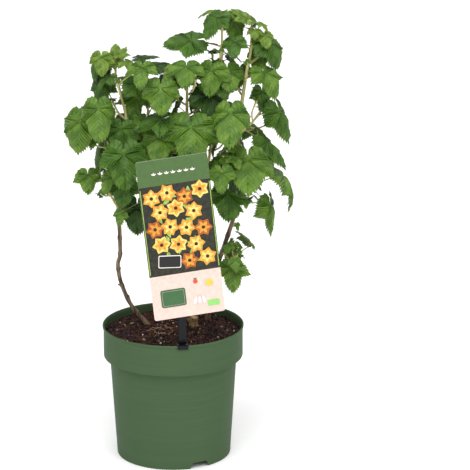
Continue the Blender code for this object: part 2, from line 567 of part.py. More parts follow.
def place_set_leaf(mass, twigs, row, room):
    """A leaf set by hand, moved a little forwards or back or tilted until it is clear."""
    facing = math.radians(row.facing)
    heading = Vector((math.sin(facing), -math.cos(facing), 0))
    changes = [(shift, tilt) for shift in SET_SHIFTS for tilt in SET_TILTS]
    for shift, tilt in sorted(changes, key=lambda change: abs(change[0]) + abs(change[1]) / 2):
        junction = Vector(row.junction) + Vector((0, 1, -SIGHT_SLOPE)) * shift / 1000
        wanted = junction - (heading * 0.7 + UP * 0.3) * row.blade
        places = [along(twig.points, step / 20) for twig in twigs for step in range(2, 20)]
        root, direction = min(places, key=lambda place: (place[0] - wanted).length)
        leave = ((junction - root).normalized() + direction * 0.5).normalized()
        leaf = make_leaf(mass, root, leave, junction, heading, math.radians(row.droop + tilt),
                         math.radians(row.roll), row.blade, row.curl, row.fold)
        pieces = leaf_pieces(room, leaf)
        if room.clear(pieces[0]) and room.clear(pieces[1], skip=mass.name):
            room.add(*pieces)
            return [leaf]
    return []


def try_leaf(mass, root, direction, azimuth, youth, attempt, rng):
    """A leaf that could grow here; later attempts turn round the twig and shrink."""
    swing = TRY_TURN * ((attempt + 1) // 2) * (1 if attempt % 2 else -1)
    out = sideways(direction, azimuth + swing)
    lean = math.radians(rng.uniform(*STALK_LEAN) + YOUNG_LEAN * youth)
    leave = direction * math.cos(lean) + out * math.sin(lean)
    size = mass.blade * (1 - (1 - YOUNG_SIZE) * youth ** 1.3)
    blade = size * rng.uniform(*SIZE_SPREAD) * (1 - TRY_SHRINK * attempt)
    reach = blade * rng.uniform(*STALK_SHARE)
    junction = root + (leave + out * 0.2 - UP * 0.12 * (1 - youth)).normalized() * reach
    heading = (level(junction - root) + level(root - CROWN_AXIS) * OUTWARDS).normalized()
    droop = math.radians(rng.uniform(*DROOP) * mix((1, YOUNG_DROOP), youth))
    roll = math.radians(rng.gauss(0, ROLL_SPREAD))
    curl = rng.uniform(*CURL)
    fold = rng.uniform(*FOLD) + YOUNG_FOLD * youth
    return make_leaf(mass, root, leave, junction, heading, droop, roll, blade, curl, fold)


def grow_leaves(mass, twigs, room):
    """The mass's other leaves, round and round each twig, as far as there is room for them."""
    grown = []
    for k, twig in enumerate(twigs):
        count = mass.leaves if k == 0 else max(3, mass.leaves // 2)
        lowest = LOWEST_LEAF[min(k, 1)]
        for i in range(count):
            rng = random.Random(f"{mass.name} {k} {i}")
            share = min(mix((lowest, 1), (i / (count - 1)) ** 0.8), 0.995)
            root, direction = along(twig.points, share)
            youth = max(0.0, (share - YOUNG_FROM) / (1 - YOUNG_FROM))
            azimuth = math.radians(mass.turn) + (k * 5 + i) * GOLDEN_ANGLE
            for attempt in range(TRIES):
                leaf = try_leaf(mass, root, direction, azimuth, youth, attempt, rng)
                pieces = leaf_pieces(room, leaf)
                inside = in_space(mass, ring_points(leaf))
                if inside and room.clear(pieces[0]) and room.clear(pieces[1], skip=mass.name):
                    room.add(*pieces)
                    grown.append(leaf)
                    break
    return grown


def label_space():
    """The space that leaves keep out of: the card and all in front of it."""
    back = CARD_FOOT[1] + 0.005
    points, faces = box_skin((-0.056, back - 0.13, 0.19), (0.062, back, CARD_FOOT[2] + CARD_HEIGHT + 0.01))
    return turn_about_axis(points, LABEL_TURN), faces


def pot_space():
    return box_skin((-RIM_RADIUS, -RIM_RADIUS, 0), (RIM_RADIUS, RIM_RADIUS, POT_HEIGHT + 0.015))


def opening_space(opening):
    """A slab along the line of sight."""
    start, end = [Vector((x, 0, z)) for x, z in (opening.start, opening.end)]
    direction = (end - start).normalized()
    out = Vector((-direction.z, 0, direction.x)) * opening.width / 2
    points = []
    for y in (OPENING_FRONT, opening.back):
        shift = Vector((0, y, -SIGHT_SLOPE * y))
        points += [corner + shift for corner in (start - out, start + out, end + out, end - out)]
    return points, [(0, 1, 2, 3), (7, 6, 5, 4), (0, 4, 5, 1), (1, 5, 6, 2), (2, 6, 7, 3), (3, 7, 4, 0)]


def grow():
    """The courses of the limbs, the twigs of each mass, and every leaf."""
    room = Room()
    courses = {}
    for limb in LIMBS:
        course = smooth_course(limb.course, LIMB_STEP)
        radii = taper(course, limb.thick + ELBOW, limb.thin + ELBOW)
        room.add(room.piece(limb.name, *tube_skin(course, radii, LIMB_SIDES)))
        courses[limb.name] = course
    room.add(room.piece("label", *label_space()), room.piece("pot", *pot_space()))
    limbs = {limb.name: limb for limb in LIMBS}
    masses = {mass.name: mass for mass in MASSES}
    twigs = {}
    for mass in MASSES:
        limb = limbs[mass.limb]
        stem = grow_stem(mass, courses[limb.name], mix((limb.thick, limb.thin), mass.share))
        room.add(twig_piece(mass, stem, room))
        twigs[mass.name] = [stem]
    for mass in MASSES:
        side_twigs = grow_side_twigs(mass, twigs[mass.name][0], room)
        room.add(*[twig_piece(mass, twig, room) for twig in side_twigs])
        twigs[mass.name] += side_twigs
    leaves = []
    for row in SET_LEAVES:
        leaves += place_set_leaf(masses[row.mass], twigs[row.mass], row, room)
    room.add(*[room.piece("opening", *opening_space(opening)) for opening in OPENINGS])
    for mass in MASSES:
        leaves += grow_leaves(mass, twigs[mass.name], room)
    return courses, twigs, leaves


# Objects

def remove_objects():
    for old in list(bpy.data.objects):
        bpy.data.objects.remove(old, do_unlink=True)


def plain_material(name, colour, roughness):
    """A Principled BSDF from an sRGB colour in 0 to 255."""
    material = bpy.data.materials.new(name)
    material.use_nodes = True
    shader = material.node_tree.nodes["Principled BSDF"]
    linear = [((part / 255 + 0.055) / 1.055) ** 2.4 for part in colour]
    shader.inputs["Base Color"].default_value = (*linear, 1)
    shader.inputs["Roughness"].default_value = roughness
    shader.inputs["Metallic"].default_value = 0.0
    return material


def solid(name, skin, material, collection=None, smooth=None):
    """A mesh object from points and faces, with its faces turned outwards."""
    mesh = bpy.data.meshes.new(name)
    mesh.from_pydata(skin[0], [], skin[1])
    mesh.materials.append(material)
    shape = bmesh.new()
    shape.from_mesh(mesh)
    bmesh.ops.recalc_face_normals(shape, faces=shape.faces)
    shape.to_mesh(mesh)
    shape.free()
    if smooth:
        mesh.shade_smooth()
        mesh.set_sharp_from_angle(angle=math.radians(smooth))
    thing = bpy.data.objects.new(name, mesh)
    (collection or bpy.context.scene.collection).objects.link(thing)
    return thing


def working_collection(name):
    collection = bpy.data.collections.new(name)
    bpy.context.scene.collection.children.link(collection)
    return collection


def apply_boolean(thing, operation, collection, solver="EXACT"):
    """Apply one Boolean with a whole collection, and remove the collection's objects."""
    modifier = thing.modifiers.new("boolean", "BOOLEAN")
    modifier.operation = operation
    modifier.operand_type = "COLLECTION"
    modifier.collection = collection
    modifier.solver = solver
    depsgraph = bpy.context.evaluated_depsgraph_get()
    mesh = bpy.data.meshes.new_from_object(thing.evaluated_get(depsgraph))
    thing.modifiers.clear()
    thing.data = mesh
    for other in list(collection.objects):
        bpy.data.objects.remove(other, do_unlink=True)
    bpy.data.collections.remove(collection)


# Pot and soil

def pot_underside():
    """From the middle of the standing disc out to the foot ring."""
    return [(0, 0), (DISC_RADIUS, 0), (DISC_RADIUS + DISC_SLOPE, FLOOR_RISE),
            (FOOT_RADIUS - RING_WIDTH - RING_SLOPE, FLOOR_RISE), (FOOT_RADIUS - RING_WIDTH, 0)]


def pot_outside():
    """From the foot ring up to the rim."""
    band_foot = POT_HEIGHT - BAND_HEIGHT
    return [(FOOT_RADIUS, 0), (SHOULDER_RADIUS, band_foot - BAND_SLOPE),
            (BAND_FOOT_RADIUS, band_foot), (RIM_RADIUS - LIP, POT_HEIGHT - LIP_HEIGHT - LIP),
            (RIM_RADIUS, POT_HEIGHT - LIP_HEIGHT), (RIM_RADIUS, POT_HEIGHT)]


def pot_inside():
    """From the rim down the wall and to the middle of the floor."""
    band_foot = POT_HEIGHT - BAND_HEIGHT
    return [(RIM_RADIUS - RIM_EDGE, POT_HEIGHT), (RIM_RADIUS - LIP - WALL, POT_HEIGHT - LIP_HEIGHT),
            (BAND_FOOT_RADIUS - WALL, band_foot + WALL),
            (SHOULDER_RADIUS - WALL, band_foot - BAND_SLOPE + WALL / 2),
            (FOOT_RADIUS - WALL / 2, FLOOR_RISE + WALL), (DISC_RADIUS + DISC_SLOPE / 2, FLOOR_RISE + WALL),
            (DISC_RADIUS - WALL, WALL), (0, WALL)]


def notch_skin(azimuth):
    """A cutter for an opening in the foot ring, narrower at its top."""
    half = NOTCH_WIDTH / 2
    points, faces = box_skin((-half, -FOOT_RADIUS * 1.1, -FLOOR_RISE),
                             (half, -FOOT_RADIUS + RING_WIDTH * 2, FLOOR_RISE - GAP))
    points = [Vector((p.x * (0.8 if p.z > 0 else 1.2), p.y, p.z)) for p in points]
    return turn_about_axis(points, math.radians(azimuth)), faces


def make_pot():
    material = plain_material("pot plastic", (83, 109, 76), 0.45)
    profile = pot_underside() + pot_outside() + pot_inside()
    pot = solid("pot", turned_skin(profile, POT_SIDES), material, smooth=30)
    cutters = working_collection("pot cutters")
    for azimuth in NOTCH_AZIMUTHS:
        solid("notch", notch_skin(azimuth), material, cutters)
    for i in range(DRAINS):
        turn = 2 * math.pi * (i + 0.5) / DRAINS
        at = Vector((DRAIN_RING * math.cos(turn), DRAIN_RING * math.sin(turn), 0))
        line = [at, at + UP * FLOOR_RISE * 2]
        solid("drain", tube_skin(line, [DRAIN_RADIUS] * 2, 10), material, cutters)
    apply_boolean(pot, "DIFFERENCE", cutters)
    return pot


def make_soil():
    """The soil fills the pot, clear of its wall and floor by the gap."""
    _, (wall_top, wall_height), *wall = pot_inside()
    below = [(max(radius - GAP, 0), height + GAP) for radius, height in reversed(wall)]
    share = (SOIL_EDGE - below[-1][1]) / (wall_height - below[-1][1])
    edge = mix((below[-1][0], wall_top - GAP), share)
    above = [(edge, SOIL_EDGE), (SOIL_SHOULDER_RADIUS, SOIL_SHOULDER), (SOIL_FLAT_RADIUS, SOIL_TOP),
             (0, SOIL_TOP)]
    material = plain_material("moist peat", (44, 30, 22), 0.95)
    return solid("soil", turned_skin(below + above, POT_SIDES), material, smooth=30)


# Label

def card_outline():
    """The card's outline with rounded corners, from the lower right corner round to the lower left."""
    outline = []
    for side, foot, first in ((1, True, -90), (1, False, 0), (-1, False, 90), (-1, True, 180)):
        x = side * (CARD_WIDTH / 2 - CARD_CORNER)
        z = CARD_CORNER if foot else CARD_HEIGHT - CARD_CORNER
        for step in range(3):
            turn = math.radians(first + 45 * step)
            outline.append((x + CARD_CORNER * math.cos(turn), z + CARD_CORNER * math.sin(turn)))
    return outline


def make_card():
    """The label's card: a thin upright plate that leans to the left."""
    points = []
    for y in (-CARD_THICK / 2, CARD_THICK / 2):
        for x, z in card_outline():
            points.append(Vector((CARD_FOOT[0] + x * math.cos(CARD_ROLL) - z * math.sin(CARD_ROLL),
                                  CARD_FOOT[1] + y,
                                  CARD_FOOT[2] + x * math.sin(CARD_ROLL) + z * math.cos(CARD_ROLL))))
    count = len(points) // 2
    faces = [tuple(range(count)), tuple(range(2 * count - 1, count - 1, -1))]
    faces += [(i, i + count, (i + 1) % count + count, (i + 1) % count) for i in range(count)]
    material = plain_material("label card", (235, 222, 205), 0.5)
    return solid("label_card", (turn_about_axis(points, LABEL_TURN), faces), material)


def label_box(name, low, high, material, collection=None):
    """A box in the label's turned frame."""
    points, faces = box_skin(low, high)
    return solid(name, (turn_about_axis(points, LABEL_TURN), faces), material, collection)


def make_holder():
    """The label's holder: a strip behind the card, with a clip over the pot's rim."""
    material = plain_material("holder plastic", (22, 24, 30), 0.4)
    front = CARD_FOOT[1] + CARD_THICK / 2 + GAP
    back = front + STRIP_THICK
    half = STRIP_WIDTH / 2
    holder = label_box("label_holder", (-half, front, STRIP_FOOT), (half, back, STRIP_TOP), material)
    half = CLIP_WIDTH / 2
    above = POT_HEIGHT + GAP
    top = above + CLIP_THICK
    inner = -RIM_RADIUS - GAP
    outer = inner - CLIP_THICK
    parts = working_collection("clip parts")
    label_box("bridge", (-half, outer, above), (half, back, top), material, parts)
    end = above - CLIP_DROP
    label_box("tongue", (-half, outer, end), (half, inner, top - CLIP_THICK / 2), material, parts)
    apply_boolean(holder, "UNION", parts)
    return holder


# Plant

def level_foot(skin, height):
    """A tube whose first ring is laid flat at a height."""
    points, faces = skin
    ring = len(faces[-1])
    return [Vector((p.x, p.y, height)) if i < ring else p for i, p in enumerate(points)], faces


def make_stump():
    foot = Vector((*STUMP_AT, FOOT))
    top = foot + Vector((*STUMP_LEAN, STUMP_HEIGHT))
    skin = tube_skin([foot, foot.lerp(top, 0.4), top], STUMP_RADII, 10)
    material = plain_material("cut wood", (150, 118, 78), 0.85)
    return solid("pruned_stump", level_foot(skin, FOOT), material, smooth=40)


def make_limb(limb, course):
    """One tapering cane from its flat cut on the soil, flared at the foot."""
    radii = taper(course, limb.thick, limb.thin)
    radii[0] *= FOOT_FLARE
    skin = level_foot(tube_skin(course, radii, LIMB_SIDES), FOOT)
    return solid(limb.name, skin, plain_material(limb.name + " bark", (104, 84, 68), 0.8), smooth=75)


def leaf_solid(leaf):
    """A three-sided stalk that opens out into a blade, as one closed form with a sharp rim."""
    line = leaf.stalk[::-1]
    radius = stalk_radius(leaf.blade)
    points, faces = tube_skin(line, taper(line, radius * STALK_TAPER, radius), 3, first_side=leaf.normal)
    above, left, right = 0, 1, 2
    faces = [face for face in faces if set(face) != {above, left, right}]
    first = len(points)
    points += ring_points(leaf)
    last = len(points) - 1
    thick = leaf.normal * leaf.blade * BLADE_THICK
    points += [leaf.junction + thick * 0.4, leaf.junction - thick * 0.6]
    top, bottom = last + 1, last + 2
    for i in range(first, last):
        faces.append((i, i + 1, top))
        faces.append((i + 1, i, bottom))
    faces += [(last, above, top), (above, first, top), (left, last, bottom), (first, right, bottom),
              (right, left, bottom), (last, left, above), (right, first, above)]
    return points, faces


def make_mass(mass, twigs, leaves):
    """One mass: its stem joined with its side twigs and leaves, whose roots reach the twigs' middles."""
    material = plain_material(mass.name + " green", (70, 112, 54), 0.6)
    stem, *side_twigs = twigs
    thing = solid(mass.name, tube_skin(*stem), material)
    parts = working_collection(mass.name + " parts")
    for twig in side_twigs:
        solid("twig", tube_skin(*twig), material, parts)
    for leaf in leaves:
        solid("leaf", leaf_solid(leaf), material, parts)
    apply_boolean(thing, "UNION", parts, "MANIFOLD")
    return thing


def main():
    remove_objects()
    courses, twigs, leaves = grow()
    make_pot()
    make_soil()
    make_stump()
    make_card()
    make_holder()
    for limb in LIMBS:
        make_limb(limb, courses[limb.name])
    for mass in MASSES:
        make_mass(mass, twigs[mass.name], [leaf for leaf in leaves if leaf.mass == mass.name])


if __name__ == "__main__":
    main()
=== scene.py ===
"""The looks of a young currant bush in its nursery pot: leaves, bark, soil, pot and label.

Metres, +Z up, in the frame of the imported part. The camera looks along +Y, so -Y is the front and +X the
right. The bush grows here by the same seeded rule as its solids, and then on to finer twigs and leaves.
Angles in the tables are degrees, and colours are sRGB from 0 to 255.
"""

import json
import math
import random
from collections import namedtuple

import bmesh
import bpy
import numpy as np
from mathutils import Matrix, Vector, noise
from mathutils.bvhtree import BVHTree
from mathutils.geometry import interpolate_bezier

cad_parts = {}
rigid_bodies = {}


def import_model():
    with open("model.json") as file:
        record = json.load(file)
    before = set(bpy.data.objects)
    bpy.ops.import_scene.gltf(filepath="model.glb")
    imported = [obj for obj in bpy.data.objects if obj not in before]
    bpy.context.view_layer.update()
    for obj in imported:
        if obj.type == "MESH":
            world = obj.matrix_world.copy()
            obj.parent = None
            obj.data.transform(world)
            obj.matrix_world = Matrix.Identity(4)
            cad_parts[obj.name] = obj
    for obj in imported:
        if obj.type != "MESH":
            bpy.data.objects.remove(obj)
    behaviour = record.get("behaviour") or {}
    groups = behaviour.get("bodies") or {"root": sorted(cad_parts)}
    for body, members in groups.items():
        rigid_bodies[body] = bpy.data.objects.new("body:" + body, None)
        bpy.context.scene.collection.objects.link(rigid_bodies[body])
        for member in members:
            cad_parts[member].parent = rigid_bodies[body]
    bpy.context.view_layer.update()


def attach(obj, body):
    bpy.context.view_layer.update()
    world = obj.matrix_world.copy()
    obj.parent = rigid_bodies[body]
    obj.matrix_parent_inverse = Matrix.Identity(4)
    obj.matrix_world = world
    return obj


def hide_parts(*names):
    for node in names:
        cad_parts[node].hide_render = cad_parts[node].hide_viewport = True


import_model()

GAP = 0.0003  # between solids that touch
UP = Vector((0, 0, 1))
GOLDEN_ANGLE = math.radians(137.5)

# Pot: a turned plastic shell with a deep rim band, standing on a foot ring and a middle disc
RIM_RADIUS = 0.0950
BAND_FOOT_RADIUS = 0.0938
BAND_HEIGHT = 0.0425
BAND_SLOPE = 0.0040  # height of the band's slanted underside
SHOULDER_RADIUS = 0.0853
FOOT_RADIUS = 0.0768
POT_HEIGHT = 0.1810
WALL = 0.0018
LIP = 0.0012  # how far the rim's lip stands out
LIP_HEIGHT = 0.0030
RIM_EDGE = 0.0014  # thickness of the rim's upper edge
FLOOR_RISE = 0.0085  # the floor's height between the ring and the disc
RING_WIDTH = 0.0024
RING_SLOPE = 0.0010
DISC_RADIUS = 0.0220
DISC_SLOPE = 0.0040
NOTCH_WIDTH = 0.026
NOTCH_AZIMUTHS = (28, 208)  # from the front towards the right
DRAIN_RADIUS = 0.0055
DRAIN_RING = 0.048
DRAINS = 6

# Soil, level in the middle and a little lower at the wall
SOIL_TOP = 0.1745
SOIL_SHOULDER = 0.1712
SOIL_EDGE = 0.1700
SOIL_FLAT_RADIUS = 0.062
SOIL_SHOULDER_RADIUS = 0.080
FOOT = SOIL_TOP + GAP

# Old wood that was cut back above the soil
STUMP_AT = (0.0272, 0.0141)
STUMP_RADII = (0.0062, 0.0052, 0.0044)
STUMP_HEIGHT = 0.0110
STUMP_LEAN = (0.0012, -0.0016)

# Plant label, in a frame turned about the pot's axis so that -Y is outwards
LABEL_TURN = math.radians(9.0)
CARD_WIDTH = 0.094
CARD_HEIGHT = 0.217
CARD_THICK = 0.0008
CARD_CORNER = 0.003
CARD_ROLL = math.radians(6.3)
CARD_FOOT = (0.0103, -0.0917, 0.2215)  # middle of the card's lower edge
STRIP_WIDTH = 0.0105
STRIP_THICK = 0.0018
STRIP_FOOT = 0.173
STRIP_TOP = 0.395
CLIP_WIDTH = 0.0145
CLIP_THICK = 0.0015
CLIP_DROP = 0.0050

# Canes, as smooth curves through a few knots, from a flat cut on the soil to where their leaves begin
Limb = namedtuple("Limb", "name course thick thin")
LIMBS = (
    Limb("cane_left", ((-0.0351, 0.0162, FOOT), (-0.0565, 0.008, 0.2045), (-0.0695, 0.000, 0.2394),
                       (-0.0730, -0.006, 0.266), (-0.0700, -0.009, 0.281), (-0.0700, -0.012, 0.314),
                       (-0.0710, -0.015, 0.355), (-0.0640, -0.010, 0.410)), 0.0028, 0.0025),
    Limb("cane_centre", ((0.010, 0.036, FOOT), (0.010, 0.024, 0.290), (0.018, 0.002, 0.380),
                         (0.020, -0.004, 0.450)), 0.0034, 0.0025),
    Limb("cane_middle", ((0.024, 0.030, FOOT), (0.032, 0.014, 0.300), (0.043, 0.012, 0.420),
                         (0.047, 0.010, 0.465)), 0.0032, 0.0027),
    Limb("cane_right", ((0.046, 0.038, FOOT), (0.056, 0.012, 0.245), (0.070, 0.000, 0.294),
                        (0.084, 0.000, 0.3425), (0.088, 0.000, 0.410), (0.089, 0.000, 0.465)),
         0.0030, 0.0028),
    Limb("cane_back_left", ((-0.004, 0.054, FOOT), (-0.026, 0.058, 0.270), (-0.034, 0.068, 0.360)),
         0.0028, 0.0021),
    Limb("cane_back_right", ((0.030, 0.050, FOOT), (0.038, 0.060, 0.270), (0.046, 0.076, 0.370)),
         0.0028, 0.0021),
)
FOOT_FLARE = 1.45
LIMB_SIDES = 6
LIMB_STEP = 0.016

# Masses of leaves: a stem that goes on from a limb at a share of its length, the number of side twigs and
# of leaves on the stem, the length of a full-grown blade, where the leaves start to turn round the stem, and
# the middle and half sizes of the space that the mass keeps to
Mass = namedtuple("Mass", "name limb share course thick twigs leaves blade turn centre reach")
MASSES = (
    Mass("leaves_left_top", "cane_left", 1.0,
         ((-0.0588, -0.006, 0.4579), (-0.0664, -0.002, 0.4975),
          (-0.0727, 0.000, 0.5226), (-0.0738, 0.002, 0.5477)),
         0.0026, 3, 14, 0.030, 20, (-0.0616, 0.012, 0.5009), (0.058, 0.062, 0.062)),
    Mass("leaves_left_side", "cane_left", 0.92, ((-0.0880, -0.0140, 0.4460), (-0.1040, -0.0200, 0.4700)),
         0.0018, 1, 8, 0.034, 200, (-0.1108, 0.006, 0.4521), (0.038, 0.062, 0.046)),
    Mass("leaves_left_low", "cane_left", 0.74, ((-0.0820, -0.0300, 0.3720), (-0.0860, -0.0400, 0.3920)),
         0.0017, 1, 9, 0.030, 90, (-0.0727, -0.004, 0.4042), (0.032, 0.066, 0.050)),
    Mass("leaves_centre_top", "cane_centre", 1.0, ((0.0203, -0.004, 0.5047), (0.0205, -0.006, 0.5348)),
         0.0025, 3, 10, 0.034, 45, (0.0161, 0.008, 0.4910), (0.056, 0.070, 0.050)),
    Mass("leaves_centre_front", "cane_centre", 0.8, ((0.0060, -0.0300, 0.4200), (0.0000, -0.0440, 0.4480)),
         0.0018, 2, 8, 0.038, 180, (0.0059, -0.020, 0.4412), (0.054, 0.056, 0.048)),
    Mass("leaves_centre_low", "cane_centre", 0.55, ((-0.0100, -0.0100, 0.3500), (-0.0200, -0.0200, 0.3720)),
         0.0017, 2, 8, 0.034, 300, (-0.0345, -0.010, 0.3702), (0.052, 0.066, 0.052)),
    Mass("leaves_middle_top", "cane_middle", 1.0,
         ((0.0557, 0.006, 0.4996), (0.0650, 0.000, 0.5428),
          (0.0663, 0.000, 0.5775), (0.0664, 0.000, 0.6041)),
         0.0027, 3, 11, 0.032, 10, (0.0662, 0.014, 0.5328), (0.042, 0.062, 0.070)),
    Mass("leaves_right_top", "cane_right", 1.0,
         ((0.0938, 0.000, 0.4970), (0.0990, 0.000, 0.5307),
          (0.1042, 0.000, 0.5602), (0.1055, 0.000, 0.5948)),
         0.0028, 3, 12, 0.032, 150, (0.1122, 0.014, 0.5355), (0.036, 0.062, 0.068)),
    Mass("leaves_right_side", "cane_right", 0.93, ((0.1060, 0.0080, 0.4580), (0.1180, 0.0100, 0.4740)),
         0.0018, 2, 8, 0.032, 60, (0.1217, 0.014, 0.4460), (0.030, 0.060, 0.052)),
    Mass("leaves_right_front", "cane_right", 0.8, ((0.0800, -0.0260, 0.4280), (0.0760, -0.0400, 0.4500)),
         0.0018, 2, 9, 0.036, 120, (0.0820, -0.014, 0.4260), (0.042, 0.060, 0.064)),
    Mass("leaves_right_low", "cane_right", 0.62, ((0.0980, -0.0040, 0.3520), (0.1070, -0.0080, 0.3850)),
         0.0015, 0, 0, 0.028, 0, (0.1271, 0.000, 0.3605), (0.045, 0.060, 0.055)),
    Mass("leaves_right_foot", "cane_right", 0.38, ((0.0800, -0.0260, 0.2760), (0.0860, -0.0340, 0.2900)),
         0.0013, 0, 0, 0.028, 250, (0.0873, -0.020, 0.2833), (0.040, 0.050, 0.055)),
    Mass("leaves_back_left", "cane_back_left", 1.0,
         ((-0.0360, 0.0740, 0.4000), (-0.0340, 0.0820, 0.4500), (-0.0360, 0.0860, 0.4900)),
         0.0022, 4, 14, 0.038, 200, (-0.0512, 0.072, 0.4421), (0.066, 0.066, 0.082)),
    Mass("leaves_back_right", "cane_back_right", 1.0,
         ((0.0520, 0.0820, 0.4200), (0.0580, 0.0860, 0.4700), (0.0600, 0.0880, 0.5050)),
         0.0022, 4, 14, 0.038, 20, (0.0712, 0.076, 0.4411), (0.062, 0.066, 0.086)),
)
TIP_RADIUS = 0.0013
STEM_STEP = 0.014
STEM_SIDES = 5
SIDE_TWIG_LENGTH = (0.028, 0.040)
SIDE_TWIG_THICK = 0.6  # of its stem's radius
SIDE_TWIG_SIDES = 4
SIDE_TWIG_TRIES = 6
# Where a side twig bends and ends: a share of its length, and the way there along its stem and outwards
SIDE_TWIG_KNOTS = ((0.5, 0.5, 0.85), (1, 0.75, 0.7))
SIDE_TWIG_TURN = 0.9  # radians between tries
SIDE_TWIGS_FROM = 0.15  # the share of a stem where its side twigs begin
SIDE_TWIGS_SPAN = 0.5  # the share of a stem that they are spread over

# Leaves: the blade's lobes and notches as angles from the midrib and shares of the midrib's length
LOBES = ((0, 1.00), (20, 0.83), (45, 0.55), (69, 0.79), (98, 0.60), (138, 0.53))
STALK_SEAT = 0.08  # how far behind the junction a stalk meets its blade, as a share of the blade
STALK_RADIUS = 0.0009
STALK_SLIM = 0.03  # a small leaf's stalk radius as a share of its blade
STALK_POINTS = 4
STALK_ARRIVAL = (0.8, 0.5, 0.4)  # how a stalk meets its blade: forwards, upwards, and the way it set out
STALK_HANDLES = (0.4, 0.35)  # how far a stalk keeps its way at its root and at its blade
FREE_STALK = (0.5, 0.2)  # where a stalk's free part begins and ends, as shares of its first and last step

# The rule for leaves, with angles in degrees
STALK_SHARE = (0.64, 0.98)  # a stalk's length as a share of its blade's
STALK_LEAN = (42, 68)  # between a stalk and its twig
STALK_SPREAD = 0.2  # how far outwards of its first way a stalk ends
STALK_SAG = 0.12  # how far below that way
YOUNG_LEAN = -22  # what a tip leaf's lean gains
DROOP = (28, 70)  # of the midrib below level
YOUNG_DROOP = 0.35  # a tip leaf's droop as a share of a grown leaf's
ROLL_SPREAD = 14
CURL = (0.15, 0.75)  # radians by which the midrib bends down
FOLD = (0.25, 0.85)  # radians by which the sides bend down
YOUNG_FOLD = 0.5
SIZE_SPREAD = (0.86, 1.14)
YOUNG_SIZE = 0.38  # a tip leaf's blade as a share of a grown leaf's
YOUNG_SHRINK = 1.3  # above 1 the leaves stay large for longer towards the tip
YOUNG_FROM = 0.55  # the share of a twig past which its leaves are young
LOWEST_LEAF = (0.10, 0.35)  # the share of a stem and of a side twig where its leaves begin
HIGHEST_LEAF = 0.995
LEAF_SPACING = 0.8  # below 1 the leaves stand closer towards a twig's tip
LEAST_LEAVES = 3  # on a side twig
TWIG_TURNS = 5  # by how many leaves' turns a twig's first leaf is on from the last twig's
OUTWARDS = 0.45  # how strongly leaves turn to the outside of the crown
CROWN_AXIS = Vector((0.02, 0.02, 0))
ELBOW = 0.0010  # the free space that a leaf keeps round it
SPACE_RINGS = (0.55, 1.04)  # where a blade's space has its corners, as shares of the blade's reach
TRIES = 14
TRY_TURN = 0.35
TRY_SHRINK = 0.03

